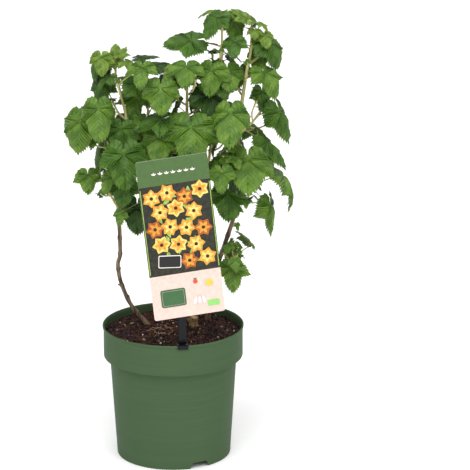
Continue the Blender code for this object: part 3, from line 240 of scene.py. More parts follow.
# Leaves that face the front, for each mass: where the blade starts, the way it faces from the front towards
# the right, its droop, its length, how it bends along and across, and its roll where it has one
SetLeaf = namedtuple("SetLeaf", "junction facing droop blade curl fold roll", defaults=(0,))
SET_LEAVES = {
    "leaves_left_top": (
        ((-0.091, -0.016, 0.552), 0, 48, 0.025, 0.5, 1.0),
        ((-0.099, 0.006, 0.540), -60, 60, 0.026, 0.9, 1.3),
        ((-0.074, 0.002, 0.548), 180, -50, 0.022, 0.3, 0.6),
        ((-0.067, 0.004, 0.549), 150, -35, 0.018, 0.3, 0.6),
        ((-0.080, -0.008, 0.549), -30, 20, 0.020, 0.5, 0.9),
        ((-0.059, -0.010, 0.544), 40, 30, 0.022, 0.4, 0.7),
        ((-0.043, 0.022, 0.542), 90, -6, 0.026, 0.2, 0.5, -6),
        ((-0.026, 0.012, 0.533), 150, -8, 0.034, 0.4, 0.5),
        ((-0.037, -0.020, 0.538), -10, 46, 0.032, 0.4, 0.6),
        ((-0.013, -0.045, 0.517), 0, 50, 0.034, 0.5, 0.6),
        ((-0.081, -0.012, 0.524), -70, 28, 0.028, 0.6, 0.9),
        ((-0.093, 0.014, 0.526), -50, 48, 0.024, 0.6, 1.0),
        ((-0.042, -0.012, 0.515), 40, 45, 0.034, 0.4, 0.6),
        ((-0.090, 0.010, 0.509), -20, 50, 0.028, 0.5, 0.8),
        ((-0.051, 0.006, 0.493), 10, 50, 0.032, 0.5, 0.7),
    ),
    "leaves_left_side": (
        ((-0.094, -0.050, 0.491), 2, 60, 0.042, 0.4, 1.9),
        ((-0.120, -0.020, 0.466), -22, 60, 0.045, 0.5, 1.5),
        ((-0.115, 0.012, 0.475), -60, 35, 0.030, 0.6, 0.8),
        ((-0.107, 0.004, 0.453), -20, 60, 0.026, 0.5, 0.9),
    ),
    "leaves_left_low": (
        ((-0.061, -0.062, 0.433), 5, 62, 0.046, 0.4, 0.4),
        ((-0.093, -0.006, 0.433), -62, 74, 0.048, 0.3, 1.6),
        ((-0.080, -0.050, 0.399), -30, 50, 0.024, 0.4, 0.6),
        ((-0.063, -0.046, 0.388), -5, 55, 0.030, 0.4, 0.5),
        ((-0.111, -0.014, 0.392), 5, 58, 0.027, 0.5, 0.8),
        ((-0.066, -0.030, 0.459), -20, 62, 0.034, 0.4, 0.7),
    ),
    "leaves_centre_low": (
        ((-0.046, -0.030, 0.351), -5, 62, 0.034, 0.4, 0.5),
        ((-0.067, -0.030, 0.344), -15, 68, 0.017, 0.4, 0.8),
    ),
    "leaves_centre_front": (
        ((0.026, -0.052, 0.467), 0, 48, 0.055, 0.5, 0.5),
        ((-0.013, -0.044, 0.476), -80, 4, 0.040, 0.4, 0.6, 14),
        ((-0.033, -0.012, 0.436), -25, 55, 0.034, 0.4, 0.5),
        ((-0.013, -0.046, 0.452), -20, 50, 0.036, 0.3, 0.5),
        ((0.003, -0.024, 0.442), 20, 55, 0.032, 0.3, 0.5),
    ),
    "leaves_centre_top": (
        ((0.020, -0.030, 0.542), -3, 34, 0.034, 0.7, 0.5),
        ((0.047, 0.000, 0.496), 20, 40, 0.034, 0.5, 0.6),
        ((-0.002, 0.012, 0.517), -40, 35, 0.034, 0.5, 0.6),
    ),
    "leaves_middle_top": (
        ((0.026, 0.000, 0.571), -84, 4, 0.036, 0.4, 0.7, 25),
        ((0.040, 0.006, 0.566), 88, 0, 0.022, 0.2, 0.5, 8),
        ((0.059, -0.014, 0.604), -42, 38, 0.031, 0.6, 0.7),
        ((0.078, -0.006, 0.601), 36, 38, 0.031, 0.6, 0.7),
        ((0.057, 0.018, 0.606), -84, 2, 0.026, 0.8, 0.8),
        ((0.072, 0.008, 0.606), 75, 5, 0.020, 0.8, 0.9),
        ((0.053, -0.026, 0.537), -18, 56, 0.036, 0.5, 1.1),
        ((0.074, -0.004, 0.529), 12, 50, 0.030, 0.5, 0.8),
        ((0.058, 0.020, 0.534), -140, 0, 0.028, 0.5, 0.7),
    ),
    "leaves_right_top": (
        ((0.100, 0.004, 0.598), -125, -40, 0.027, 0.4, 0.6),
        ((0.107, 0.004, 0.595), 90, 6, 0.020, 0.3, 0.5, 12),
        ((0.109, -0.012, 0.586), 0, 26, 0.016, 0.5, 0.9),
        ((0.122, -0.014, 0.581), 15, 36, 0.020, 0.5, 0.9),
        ((0.126, 0.004, 0.566), 52, 40, 0.038, 0.9, 0.6),
        ((0.118, -0.010, 0.561), -25, 52, 0.030, 0.5, 0.8),
        ((0.083, -0.024, 0.574), -8, 50, 0.024, 0.4, 0.5),
        ((0.122, -0.026, 0.533), 40, 38, 0.037, 0.6, 0.6),
        ((0.089, 0.020, 0.526), -10, 50, 0.026, 0.4, 0.6),
    ),
    "leaves_right_side": (
        ((0.143, 0.000, 0.474), 56, 62, 0.039, 0.4, 1.9),
        ((0.119, 0.004, 0.501), 25, 60, 0.028, 0.4, 1.0),
        ((0.102, 0.010, 0.452), 60, 34, 0.036, 0.5, 0.7),
        ((0.126, 0.000, 0.432), 66, 46, 0.041, 0.3, 1.4),
        ((0.122, -0.012, 0.419), 30, 48, 0.028, 0.4, 0.6),
    ),
    "leaves_right_front": (
        ((0.078, -0.060, 0.488), 0, 60, 0.048, 0.3, 2.0),
        ((0.100, -0.052, 0.423), 2, 60, 0.050, 0.4, 1.3),
        ((0.066, -0.066, 0.409), 0, 58, 0.028, 0.4, 0.5),
        ((0.090, -0.020, 0.403), 5, 62, 0.036, 0.4, 0.5),
        ((0.074, -0.024, 0.370), -5, 66, 0.036, 0.4, 0.6),
    ),
    "leaves_right_low": (
        ((0.147, 0.000, 0.387), 92, 46, 0.048, 1.3, 0.8),
        ((0.130, 0.000, 0.347), 64, 80, 0.040, 0.3, 1.5),
        ((0.087, -0.020, 0.347), -20, 60, 0.012, 0.4, 0.9),
        ((0.086, -0.016, 0.325), 30, 60, 0.009, 0.4, 0.9),
    ),
    "leaves_right_foot": (
        ((0.102, -0.012, 0.299), -58, -66, 0.028, 0.6, 1.0),
        ((0.079, -0.032, 0.269), 4, 60, 0.033, 0.3, 0.5),
        ((0.075, -0.018, 0.280), 125, -74, 0.026, 0.2, 1.2),
    ),
}

# Openings that leaves keep clear of, along the line of sight through two places in the plane of the crown's
# middle: in front of the stems that show, as far back as the stem, and right through where the sky shows
OPENING_FRONT = -0.16
SKY_BACK = 0.16
Opening = namedtuple("Opening", "start end width back", defaults=(SKY_BACK,))
OPENINGS = (
    ((-0.059, 0.459), (-0.068, 0.504), 0.0054, -0.004),
    ((-0.068, 0.504), (-0.074, 0.525), 0.0054, -0.004),
    ((0.020, 0.469), (0.019, 0.504), 0.0054, -0.006),
    ((0.066, 0.544), (0.066, 0.579), 0.0080, -0.004),
    ((0.092, 0.493), (0.106, 0.563), 0.0080, -0.004),
    ((0.085, 0.345), (0.085, 0.363), 0.0067, -0.004),
    ((0.095, 0.558), (0.095, 0.547), 0.0054),
    ((0.108, 0.562), (0.106, 0.547), 0.0040),
    ((0.024, 0.549), (0.058, 0.549), 0.0094),
    ((0.056, 0.574), (0.058, 0.555), 0.0094),
    ((0.072, 0.580), (0.072, 0.571), 0.0067),
    ((-0.015, 0.552), (0.006, 0.548), 0.0080),
    ((0.078, 0.506), (0.089, 0.493), 0.0080),
    ((0.099, 0.504), (0.099, 0.490), 0.0040),
    ((0.099, 0.482), (0.119, 0.471), 0.0134),
    ((0.106, 0.466), (0.124, 0.447), 0.0094),
    ((0.063, 0.432), (0.070, 0.432), 0.0067),
    ((0.097, 0.435), (0.112, 0.428), 0.0054),
    ((0.119, 0.384), (0.138, 0.373), 0.0161),
    ((0.026, 0.505), (0.028, 0.502), 0.0080),
    ((0.011, 0.500), (0.015, 0.500), 0.0067),
    ((0.037, 0.523), (0.037, 0.515), 0.0040),
    ((0.045, 0.485), (0.045, 0.482), 0.0054),
    ((0.056, 0.486), (0.057, 0.484), 0.0080),
    ((-0.030, 0.511), (-0.032, 0.505), 0.0040),
    ((-0.054, 0.481), (-0.034, 0.477), 0.0040),
    ((-0.069, 0.493), (-0.068, 0.477), 0.0040),
    ((-0.094, 0.496), (-0.084, 0.496), 0.0027),
    ((-0.078, 0.484), (-0.075, 0.481), 0.0040),
    ((-0.112, 0.451), (-0.109, 0.444), 0.0054),
    ((-0.114, 0.409), (-0.106, 0.420), 0.0134),
    ((-0.090, 0.425), (-0.093, 0.405), 0.0027),
    ((-0.061, 0.533), (-0.060, 0.531), 0.0054),
    ((-0.055, 0.549), (-0.041, 0.544), 0.0040),
    ((-0.037, 0.441), (-0.037, 0.439), 0.0027),
    ((-0.013, 0.470), (-0.008, 0.473), 0.0040),
    ((0.063, 0.340), (0.066, 0.327), 0.0067),
    ((-0.080, 0.334), (-0.091, 0.348), 0.0080),
)
SIGHT_SLOPE = 0.299  # by how much the line of sight sinks per length backwards

SET_SHIFTS = (0, -4, 4, -8, 8, -12, 12, -16, 16, 22, 28)  # thousandths of a metre along the line of sight
SET_TILTS = (0, 8, -8, 16, -16, 24)
TILT_COST = 0.5  # how many of those thousandths a degree counts for
SET_STALK = (0.7, 0.3)  # how far behind and below its blade a set leaf's stalk should start, in blades
SET_LEAVE = 0.5  # how far a set leaf's stalk keeps to its twig as it leaves
ROOT_STEPS = 20  # places along a twig where a set leaf may grow from

# The space of the label and of the pot that leaves keep out of
LABEL_SPACE_SIDES = (-0.056, 0.062)
LABEL_SPACE_FOOT = 0.19
LABEL_SPACE_ABOVE = 0.01
LABEL_SPACE_BEHIND = 0.005
LABEL_SPACE_DEPTH = 0.13
POT_SPACE_ABOVE = 0.015

Twig = namedtuple("Twig", "points radii sides")
Leaf = namedtuple("Leaf", "mass stalk junction axis normal blade curl fold")


# Lines

def smooth_course(knots, step):
    """Points about a step apart on a smooth curve through the knots."""
    knots = [Vector(knot) for knot in knots]
    points = []
    for i in range(len(knots) - 1):
        start, end = knots[i], knots[i + 1]
        before, after = knots[max(i - 1, 0)], knots[min(i + 2, len(knots) - 1)]
        count = max(3, math.ceil((end - start).length / step) + 1)
        leave = start + (end - before) / 6
        arrive = end - (after - start) / 6
        points += interpolate_bezier(start, leave, arrive, end, count)[:-1]
    return points + [knots[-1]]


def along(points, share):
    """The place and the direction at a share of a line's length."""
    lengths = [(b - a).length for a, b in zip(points, points[1:])]
    left = share * sum(lengths)
    for a, b, length in zip(points, points[1:], lengths):
        if left <= length:
            break
        left -= length
    direction = (b - a).normalized()
    return a + direction * min(left, length), direction


def sideways(direction, azimuth):
    """A direction square to the given one, turned about it by the azimuth."""
    reference = Vector((0, -1, 0)) if abs(direction.z) > 0.5 else UP
    side = (reference - direction * reference.dot(direction)).normalized()
    return side * math.cos(azimuth) + direction.cross(side) * math.sin(azimuth)


def level(direction):
    """The level part of a direction."""
    flat = Vector((direction.x, direction.y, 0))
    return flat.normalized() if flat.length > 1e-4 else Vector((0, -1, 0))


def mix(limits, share):
    """The value at a share of the way between two limits."""
    return limits[0] + (limits[1] - limits[0]) * share


def taper(points, thick, thin):
    """A radius for each point of a line, from thick to thin."""
    return [mix((thick, thin), i / (len(points) - 1)) for i in range(len(points))]


# Shapes as points and faces

def tube_skin(points, radii, sides, first_side=None):
    """A tube along a line, closed at both ends, with a corner on the first side."""
    skin, faces = [], []
    side = first_side or sideways((points[1] - points[0]).normalized(), 0)
    for i, point in enumerate(points):
        before, after = points[max(i - 1, 0)], points[min(i + 1, len(points) - 1)]
        direction = (after - before).normalized()
        side = (side - direction * side.dot(direction)).normalized()
        other = direction.cross(side)
        for j in range(sides):
            turn = 2 * math.pi * j / sides
            skin.append(point + (side * math.cos(turn) + other * math.sin(turn)) * radii[i])
    for i in range(len(points) - 1):
        for j in range(sides):
            a, b = i * sides + j, i * sides + (j + 1) % sides
            faces.append((a, b, b + sides, a + sides))
    faces.append(tuple(range(sides - 1, -1, -1)))
    last = (len(points) - 1) * sides
    faces.append(tuple(range(last, last + sides)))
    return skin, faces


def box_skin(low, high):
    """A box between two corners."""
    points = [Vector((x, y, z)) for x in (low[0], high[0]) for y in (low[1], high[1])
              for z in (low[2], high[2])]
    return points, [(0, 1, 3, 2), (4, 6, 7, 5), (0, 4, 5, 1), (2, 3, 7, 6), (0, 2, 6, 4), (1, 5, 7, 3)]


def turn_about_axis(points, angle):
    """Points turned about the pot's axis."""
    return [Vector((p.x * math.cos(angle) - p.y * math.sin(angle),
                    p.x * math.sin(angle) + p.y * math.cos(angle), p.z)) for p in points]


# The form of a blade

def arc(distance, turn):
    """How far forwards and how far down a line of this length gets when it bends by the turn."""
    if abs(turn) < 1e-6:
        return distance, 0.0
    return distance * math.sin(turn) / turn, distance * (1 - math.cos(turn)) / turn


def on_blade(leaf, reach, angle):
    """A point of a blade: reach is a share of its length, and the angle is taken from the midrib."""
    forward, across = reach * math.cos(angle), reach * math.sin(angle)
    across, droop = arc(across, leaf.fold * across)
    turn = leaf.curl * forward
    forward, drop = arc(forward, turn)
    forward -= droop * math.sin(turn)
    drop += droop * math.cos(turn)
    side = leaf.normal.cross(leaf.axis)
    return leaf.junction + (leaf.axis * forward + side * across - leaf.normal * drop) * leaf.blade


def lobe_ring():
    """The blade's outline as angles and reaches, from the basal lobe on one side to that on the other."""
    half = [(math.radians(angle), reach) for angle, reach in LOBES]
    return [(-angle, reach) for angle, reach in reversed(half[1:])] + half


def ring_points(leaf):
    """The places of a blade's outline."""
    return [on_blade(leaf, reach, angle) for angle, reach in lobe_ring()]


def blade_space(leaf):
    """A blade's two skins, each held off its middle, for tests against its neighbours."""
    ring = lobe_ring() + [(math.pi, STALK_SEAT)]
    count = len(ring)
    points, faces = [], []
    for side in (1, -1):
        first = len(points)
        lift = leaf.normal * ELBOW * side
        points.append(leaf.junction + lift)
        for share in SPACE_RINGS:
            points += [on_blade(leaf, reach * share, angle) + lift for angle, reach in ring]
        for i in range(count):
            a, b = first + 1 + i, first + 1 + (i + 1) % count
            faces.append((first, a, b))
            faces.append((a, a + count, b + count, b))
    half = len(points) // 2
    for i in range(count):
        a, b = 1 + count + i, 1 + count + (i + 1) % count
        faces.append((a, b, b + half, a + half))
    return points, faces


# Growth

class Room:
    """What is taken already, as a tree of faces for each piece, with a ball round it."""

    def __init__(self):
        self.pieces = []

    def piece(self, owner, points, faces):
        """A piece that can be tested against what is taken, and then be taken itself."""
        middle = sum(points, Vector()) / len(points)
        radius = max((point - middle).length for point in points)
        return owner, middle, radius, BVHTree.FromPolygons(points, faces)

    def clear(self, piece, skip=None):
        """Whether a piece touches nothing, apart from the pieces of one owner."""
        _, middle, radius, tree = piece
        for owner, other_middle, other_radius, other in self.pieces:
            near = (middle - other_middle).length < radius + other_radius
            if owner != skip and near and tree.overlap(other):
                return False
        return True

    def add(self, *pieces):
        """Take the room of some pieces."""
        self.pieces += pieces


def stalk_radius(blade):
    """The radius of a stalk, which is less for a small blade."""
    return min(STALK_RADIUS, blade * STALK_SLIM)


def make_leaf(mass, root, leave, junction, heading, droop, roll, blade, curl, fold):
    """A leaf whose stalk leaves its twig at the root, and whose blade starts at the junction."""
    axis = heading * math.cos(droop) - UP * math.sin(droop)
    normal = UP * math.cos(droop) + heading * math.sin(droop)
    side = normal.cross(axis)
    normal = normal * math.cos(roll) + side * math.sin(roll)
    forwards, upwards, onwards = STALK_ARRIVAL
    arrive = (heading * forwards + UP * upwards * math.cos(droop) + leave * onwards).normalized()
    seat = junction - axis * blade * STALK_SEAT - normal * stalk_radius(blade) / 2
    length, (near, far) = (seat - root).length, STALK_HANDLES
    handles = root + leave * length * near, seat - arrive * length * far
    stalk = interpolate_bezier(root, *handles, seat, STALK_POINTS)
    return Leaf(mass.name, stalk, junction, axis, normal, blade, curl, fold)


def settles(leaf, room):
    """Whether a leaf has room, which it then takes: its blade's, and that of the free part of its stalk."""
    stalk, (begin, end) = leaf.stalk, FREE_STALK
    free = [stalk[0].lerp(stalk[1], begin)] + stalk[1:-1] + [stalk[-1].lerp(stalk[-2], end)]
    radii = [stalk_radius(leaf.blade) + ELBOW / 2] * len(free)
    blade_piece = room.piece("blade", *blade_space(leaf))
    stalk_piece = room.piece("stalk", *tube_skin(free, radii, 3))
    if room.clear(blade_piece) and room.clear(stalk_piece, skip=leaf.mass):
        room.add(blade_piece, stalk_piece)
        return True
    return False


def in_space(mass, points):
    """Whether all points lie in the space that a mass keeps to."""
    centre = Vector(mass.centre)
    for point in points:
        offset = point - centre
        if sum((offset[i] / mass.reach[i]) ** 2 for i in range(3)) > 1:
            return False
    return True


def twig_piece(mass, twig, room):
    """A twig with elbow room; its owner is its mass."""
    grown = [radius + ELBOW for radius in twig.radii]
    return room.piece(mass.name, *tube_skin(twig.points, grown, 4))


def grow_stem(mass, limb_course, limb_radius):
    """The mass's stem, which starts clear of its limb."""
    start, direction = along(limb_course, mass.share)
    aim = (Vector(mass.course[0]) - start).normalized()
    cosine, sine = aim.dot(direction), aim.cross(direction).length
    if mass.share == 1.0:
        first = start + direction * (GAP + mass.thick * sine)
    else:
        first = start + aim * (limb_radius + GAP + mass.thick * cosine) / sine
    points = smooth_course([first] + list(mass.course), STEM_STEP)
    return Twig(points, taper(points, mass.thick, TIP_RADIUS), STEM_SIDES)


def grow_side_twigs(mass, stem, room):
    """The side twigs that find room, round and round the stem."""
    twigs = []
    for i in range(mass.twigs):
        rng = random.Random(f"{mass.name} twig {i}")
        start = SIDE_TWIGS_FROM + SIDE_TWIGS_SPAN * (i + 0.5) / mass.twigs
        root, direction = along(stem.points, start)
        for attempt in range(SIDE_TWIG_TRIES):
            azimuth = math.radians(mass.turn) + (i + 0.5) * GOLDEN_ANGLE + attempt * SIDE_TWIG_TURN
            out = sideways(direction, azimuth)
            length = rng.uniform(*SIDE_TWIG_LENGTH)
            knots = [root + (direction * onwards + out * outwards) * length * share
                     for share, onwards, outwards in SIDE_TWIG_KNOTS]
            points = smooth_course([root, *knots], STEM_STEP)
            radii = taper(points, mass.thick * SIDE_TWIG_THICK, TIP_RADIUS * 0.9)
            twig = Twig(points, radii, SIDE_TWIG_SIDES)
            if in_space(mass, points) and room.clear(twig_piece(mass, twig, room), skip=mass.name):
                twigs.append(twig)
                break
    return twigs


def place_set_leaf(mass, twigs, row, room):
    """A leaf set in the table, moved a little forwards or back or tilted until it is clear."""
    facing = math.radians(row.facing)
    heading = Vector((math.sin(facing), -math.cos(facing), 0))
    changes = [(shift, tilt) for shift in SET_SHIFTS for tilt in SET_TILTS]
    for shift, tilt in sorted(changes, key=lambda change: abs(change[0]) + abs(change[1]) * TILT_COST):
        junction = Vector(row.junction) + Vector((0, 1, -SIGHT_SLOPE)) * shift / 1000
        wanted = junction - (heading * SET_STALK[0] + UP * SET_STALK[1]) * row.blade
        shares = [step / ROOT_STEPS for step in range(2, ROOT_STEPS)]
        places = [along(twig.points, share) for twig in twigs for share in shares]
        root, direction = min(places, key=lambda place: (place[0] - wanted).length)
        leave = ((junction - root).normalized() + direction * SET_LEAVE).normalized()
        leaf = make_leaf(mass, root, leave, junction, heading, math.radians(row.droop + tilt),
                         math.radians(row.roll), row.blade, row.curl, row.fold)
        if settles(leaf, room):
            return [leaf]
    return []


def try_leaf(mass, root, direction, azimuth, youth, attempt, rng):
    """A leaf that could grow here; later attempts turn it round the twig and shrink it."""
    swing = TRY_TURN * ((attempt + 1) // 2) * (1 if attempt % 2 else -1)
    out = sideways(direction, azimuth + swing)
    lean = math.radians(rng.uniform(*STALK_LEAN) + YOUNG_LEAN * youth)
    leave = direction * math.cos(lean) + out * math.sin(lean)
    size = mass.blade * (1 - (1 - YOUNG_SIZE) * youth ** YOUNG_SHRINK)
    blade = size * rng.uniform(*SIZE_SPREAD) * (1 - TRY_SHRINK * attempt)
    reach = blade * rng.uniform(*STALK_SHARE)
    way = leave + out * STALK_SPREAD - UP * STALK_SAG * (1 - youth)
    junction = root + way.normalized() * reach
    heading = (level(junction - root) + level(root - CROWN_AXIS) * OUTWARDS).normalized()
    droop = math.radians(rng.uniform(*DROOP) * mix((1, YOUNG_DROOP), youth))
    roll = math.radians(rng.gauss(0, ROLL_SPREAD))
    curl = rng.uniform(*CURL)
    fold = rng.uniform(*FOLD) + YOUNG_FOLD * youth
    return make_leaf(mass, root, leave, junction, heading, droop, roll, blade, curl, fold)


def find_leaf(mass, root, direction, azimuth, youth, rng, room):
    """A leaf that grows here as far as there is room for it."""
    for attempt in range(TRIES):
        leaf = try_leaf(mass, root, direction, azimuth, youth, attempt, rng)
        if in_space(mass, ring_points(leaf)) and settles(leaf, room):
            return [leaf]
    return []


def grow_leaves(mass, twigs, room):
    """The mass's other leaves, round and round each twig."""
    grown = []
    for k, twig in enumerate(twigs):
        count = mass.leaves if k == 0 else max(LEAST_LEAVES, mass.leaves // 2)
        lowest = LOWEST_LEAF[min(k, 1)]
        for i in range(count):
            rng = random.Random(f"{mass.name} {k} {i}")
            share = min(mix((lowest, 1), (i / (count - 1)) ** LEAF_SPACING), HIGHEST_LEAF)
            root, direction = along(twig.points, share)
            youth = max(0.0, (share - YOUNG_FROM) / (1 - YOUNG_FROM))
            azimuth = math.radians(mass.turn) + (k * TWIG_TURNS + i) * GOLDEN_ANGLE
            grown += find_leaf(mass, root, direction, azimuth, youth, rng, room)
    return grown


def label_space():
    """The space that leaves keep out of: the card and all in front of it."""
    left, right = LABEL_SPACE_SIDES
    back = CARD_FOOT[1] + LABEL_SPACE_BEHIND
    top = CARD_FOOT[2] + CARD_HEIGHT + LABEL_SPACE_ABOVE
    points, faces = box_skin((left, back - LABEL_SPACE_DEPTH, LABEL_SPACE_FOOT), (right, back, top))
    return turn_about_axis(points, LABEL_TURN), faces


def pot_space():
    """The space that leaves keep out of: the pot and a little above its rim."""
    return box_skin((-RIM_RADIUS, -RIM_RADIUS, 0), (RIM_RADIUS, RIM_RADIUS, POT_HEIGHT + POT_SPACE_ABOVE))


def opening_space(opening):
    """A slab along the line of sight."""
    start, end = [Vector((x, 0, z)) for x, z in (opening.start, opening.end)]
    direction = (end - start).normalized()
    out = Vector((-direction.z, 0, direction.x)) * opening.width / 2
    corners = [start - out, start + out, end + out, end - out]
    ends = [Vector((0, y, -SIGHT_SLOPE * y)) for y in (OPENING_FRONT, opening.back)]
    points = [corner + end for end in ends for corner in corners]
    return points, [(0, 1, 2, 3), (7, 6, 5, 4), (0, 4, 5, 1), (1, 5, 6, 2), (2, 6, 7, 3), (3, 7, 4, 0)]


def grow():
    """The courses of the limbs, the twigs of each mass, every leaf, and what is taken."""
    room = Room()
    courses = {}
    for limb in LIMBS:
        course = smooth_course(limb.course, LIMB_STEP)
        radii = taper(course, limb.thick + ELBOW, limb.thin + ELBOW)
        room.add(room.piece(limb.name, *tube_skin(course, radii, LIMB_SIDES)))
        courses[limb.name] = course
    room.add(room.piece("label", *label_space()), room.piece("pot", *pot_space()))
    limbs = {limb.name: limb for limb in LIMBS}
    masses = {mass.name: mass for mass in MASSES}
    twigs = {}
    for mass in MASSES:
        limb = limbs[mass.limb]
        stem = grow_stem(mass, courses[limb.name], mix((limb.thick, limb.thin), mass.share))
        room.add(twig_piece(mass, stem, room))
        twigs[mass.name] = [stem]
    for mass in MASSES:
        side_twigs = grow_side_twigs(mass, twigs[mass.name][0], room)
        room.add(*[twig_piece(mass, twig, room) for twig in side_twigs])
        twigs[mass.name] += side_twigs
    leaves = []
    for name, rows in SET_LEAVES.items():
        for row in rows:
            leaves += place_set_leaf(masses[name], twigs[name], SetLeaf(*row), room)
    room.add(*[room.piece("opening", *opening_space(Opening(*row))) for row in OPENINGS])
    for mass in MASSES:
        leaves += grow_leaves(mass, twigs[mass.name], room)
    return courses, twigs, leaves, room


# Meshes made of many small shapes

class Pile:
    """Points and faces of many shapes that become one mesh, with a material for each face."""

    def __init__(self, *materials):
        self.materials = materials
        self.points = []
        self.faces = []
        self.slots = []

    def add(self, points, faces, slot=0):
        """Add a shape in one material."""
        start = len(self.points)
        self.points += [tuple(point) for point in points]
        self.faces += [[start + corner for corner in face] for face in faces]
        self.slots += [slot] * len(faces)

    def piece(self, name, slot, *nodes, sharp=None, smooth=True):
        """The mesh as a piece that rides on the part and stands for the nodes."""
        mesh = bpy.data.meshes.new(name)
        mesh.from_pydata(self.points, [], self.faces)
        for material in self.materials:
            mesh.materials.append(material)
        mesh.polygons.foreach_set("material_index", self.slots)
        if smooth:
            mesh.shade_smooth()
        if sharp:
            mesh.set_sharp_from_angle(angle=math.radians(sharp))
        mesh.update()
        thing = put(name, mesh)
        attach(thing, "root")
        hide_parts(*nodes)
        return thing


def put(name, data):
    """A new object in the scene."""
    thing = bpy.data.objects.new(name, data)
    bpy.context.scene.collection.objects.link(thing)
    return thing


def turned_skin(profile, sides):
    """A closed solid of revolution; the profile runs from pole to pole on the axis."""
    turns = [2 * math.pi * j / sides for j in range(sides)]
    points = [(0, 0, profile[0][1])]
    for radius, height in profile[1:-1]:
        points += [(radius * math.cos(turn), radius * math.sin(turn), height) for turn in turns]
    points.append((0, 0, profile[-1][1]))
    faces = []
    last = 1 + (len(profile) - 3) * sides
    for j in range(sides):
        k = (j + 1) % sides
        faces.append((0, 1 + k, 1 + j))
        faces += [(low + j, low + k, low + sides + k, low + sides + j) for low in range(1, last, sides)]
        faces.append((last + j, last + k, len(points) - 1))
    return points, faces


def rounded(profile, radius, steps=3):
    """A profile whose inner corners are rounded off."""
    profile = [Vector((r, z)) for r, z in profile]
    points = [tuple(profile[0])]
    for before, corner, after in zip(profile, profile[1:], profile[2:]):
        back, forward = before - corner, after - corner
        cut = min(radius, back.length * 0.45, forward.length * 0.45)
        start, end = corner + back.normalized() * cut, corner + forward.normalized() * cut
        for step in range(steps + 1):
            share = step / steps
            points.append(tuple(start.lerp(corner, share).lerp(corner.lerp(end, share), share)))
    return points + [tuple(profile[-1])]


def skin_of(shape):
    """The points and faces of an edit mesh, which is done with."""
    shape.verts.index_update()
    points = [vertex.co.copy() for vertex in shape.verts]
    faces = [[vertex.index for vertex in face.verts] for face in shape.faces]
    shape.free()
    return points, faces


def soft_box(low, high, bevel):
    """A box with rounded edges."""
    shape = bmesh.new()
    bmesh.ops.create_cube(shape, size=1)
    middle, size = (Vector(low) + Vector(high)) / 2, Vector(high) - Vector(low)
    for vertex in shape.verts:
        vertex.co = middle + Vector((vertex.co[i] * size[i] for i in range(3)))
    bmesh.ops.bevel(shape, geom=shape.edges[:], offset=bevel, segments=2, affect="EDGES", profile=0.5)
    return skin_of(shape)


def stone_skin():
    """A round lump of twenty faces, with a radius of one."""
    shape = bmesh.new()
    bmesh.ops.create_icosphere(shape, subdivisions=1, radius=1)
    return skin_of(shape)


STONE = stone_skin()


def add_lump(pile, at, size, rng, slot=0, stretch=(1, 1, 1)):
    """An uneven crumb: a lump with its corners pushed about, stretched and turned."""
    turn = Matrix.Rotation(rng.uniform(0, 6.28), 3, Vector((rng.gauss(0, 0.5), rng.gauss(0, 0.5), 1)))
    points = []
    for corner in STONE[0]:
        place = Vector([corner[i] * stretch[i] for i in range(3)]) * size * rng.uniform(0.7, 1.25)
        points.append(Vector(at) + turn @ place)
    pile.add(points, STONE[1], slot)


# Materials

def linear(colour):
    """A colour in linear light."""
    parts = [part / 255 for part in colour]
    return (*[part / 12.92 if part < 0.04 else ((part + 0.055) / 1.055) ** 2.4 for part in parts], 1)


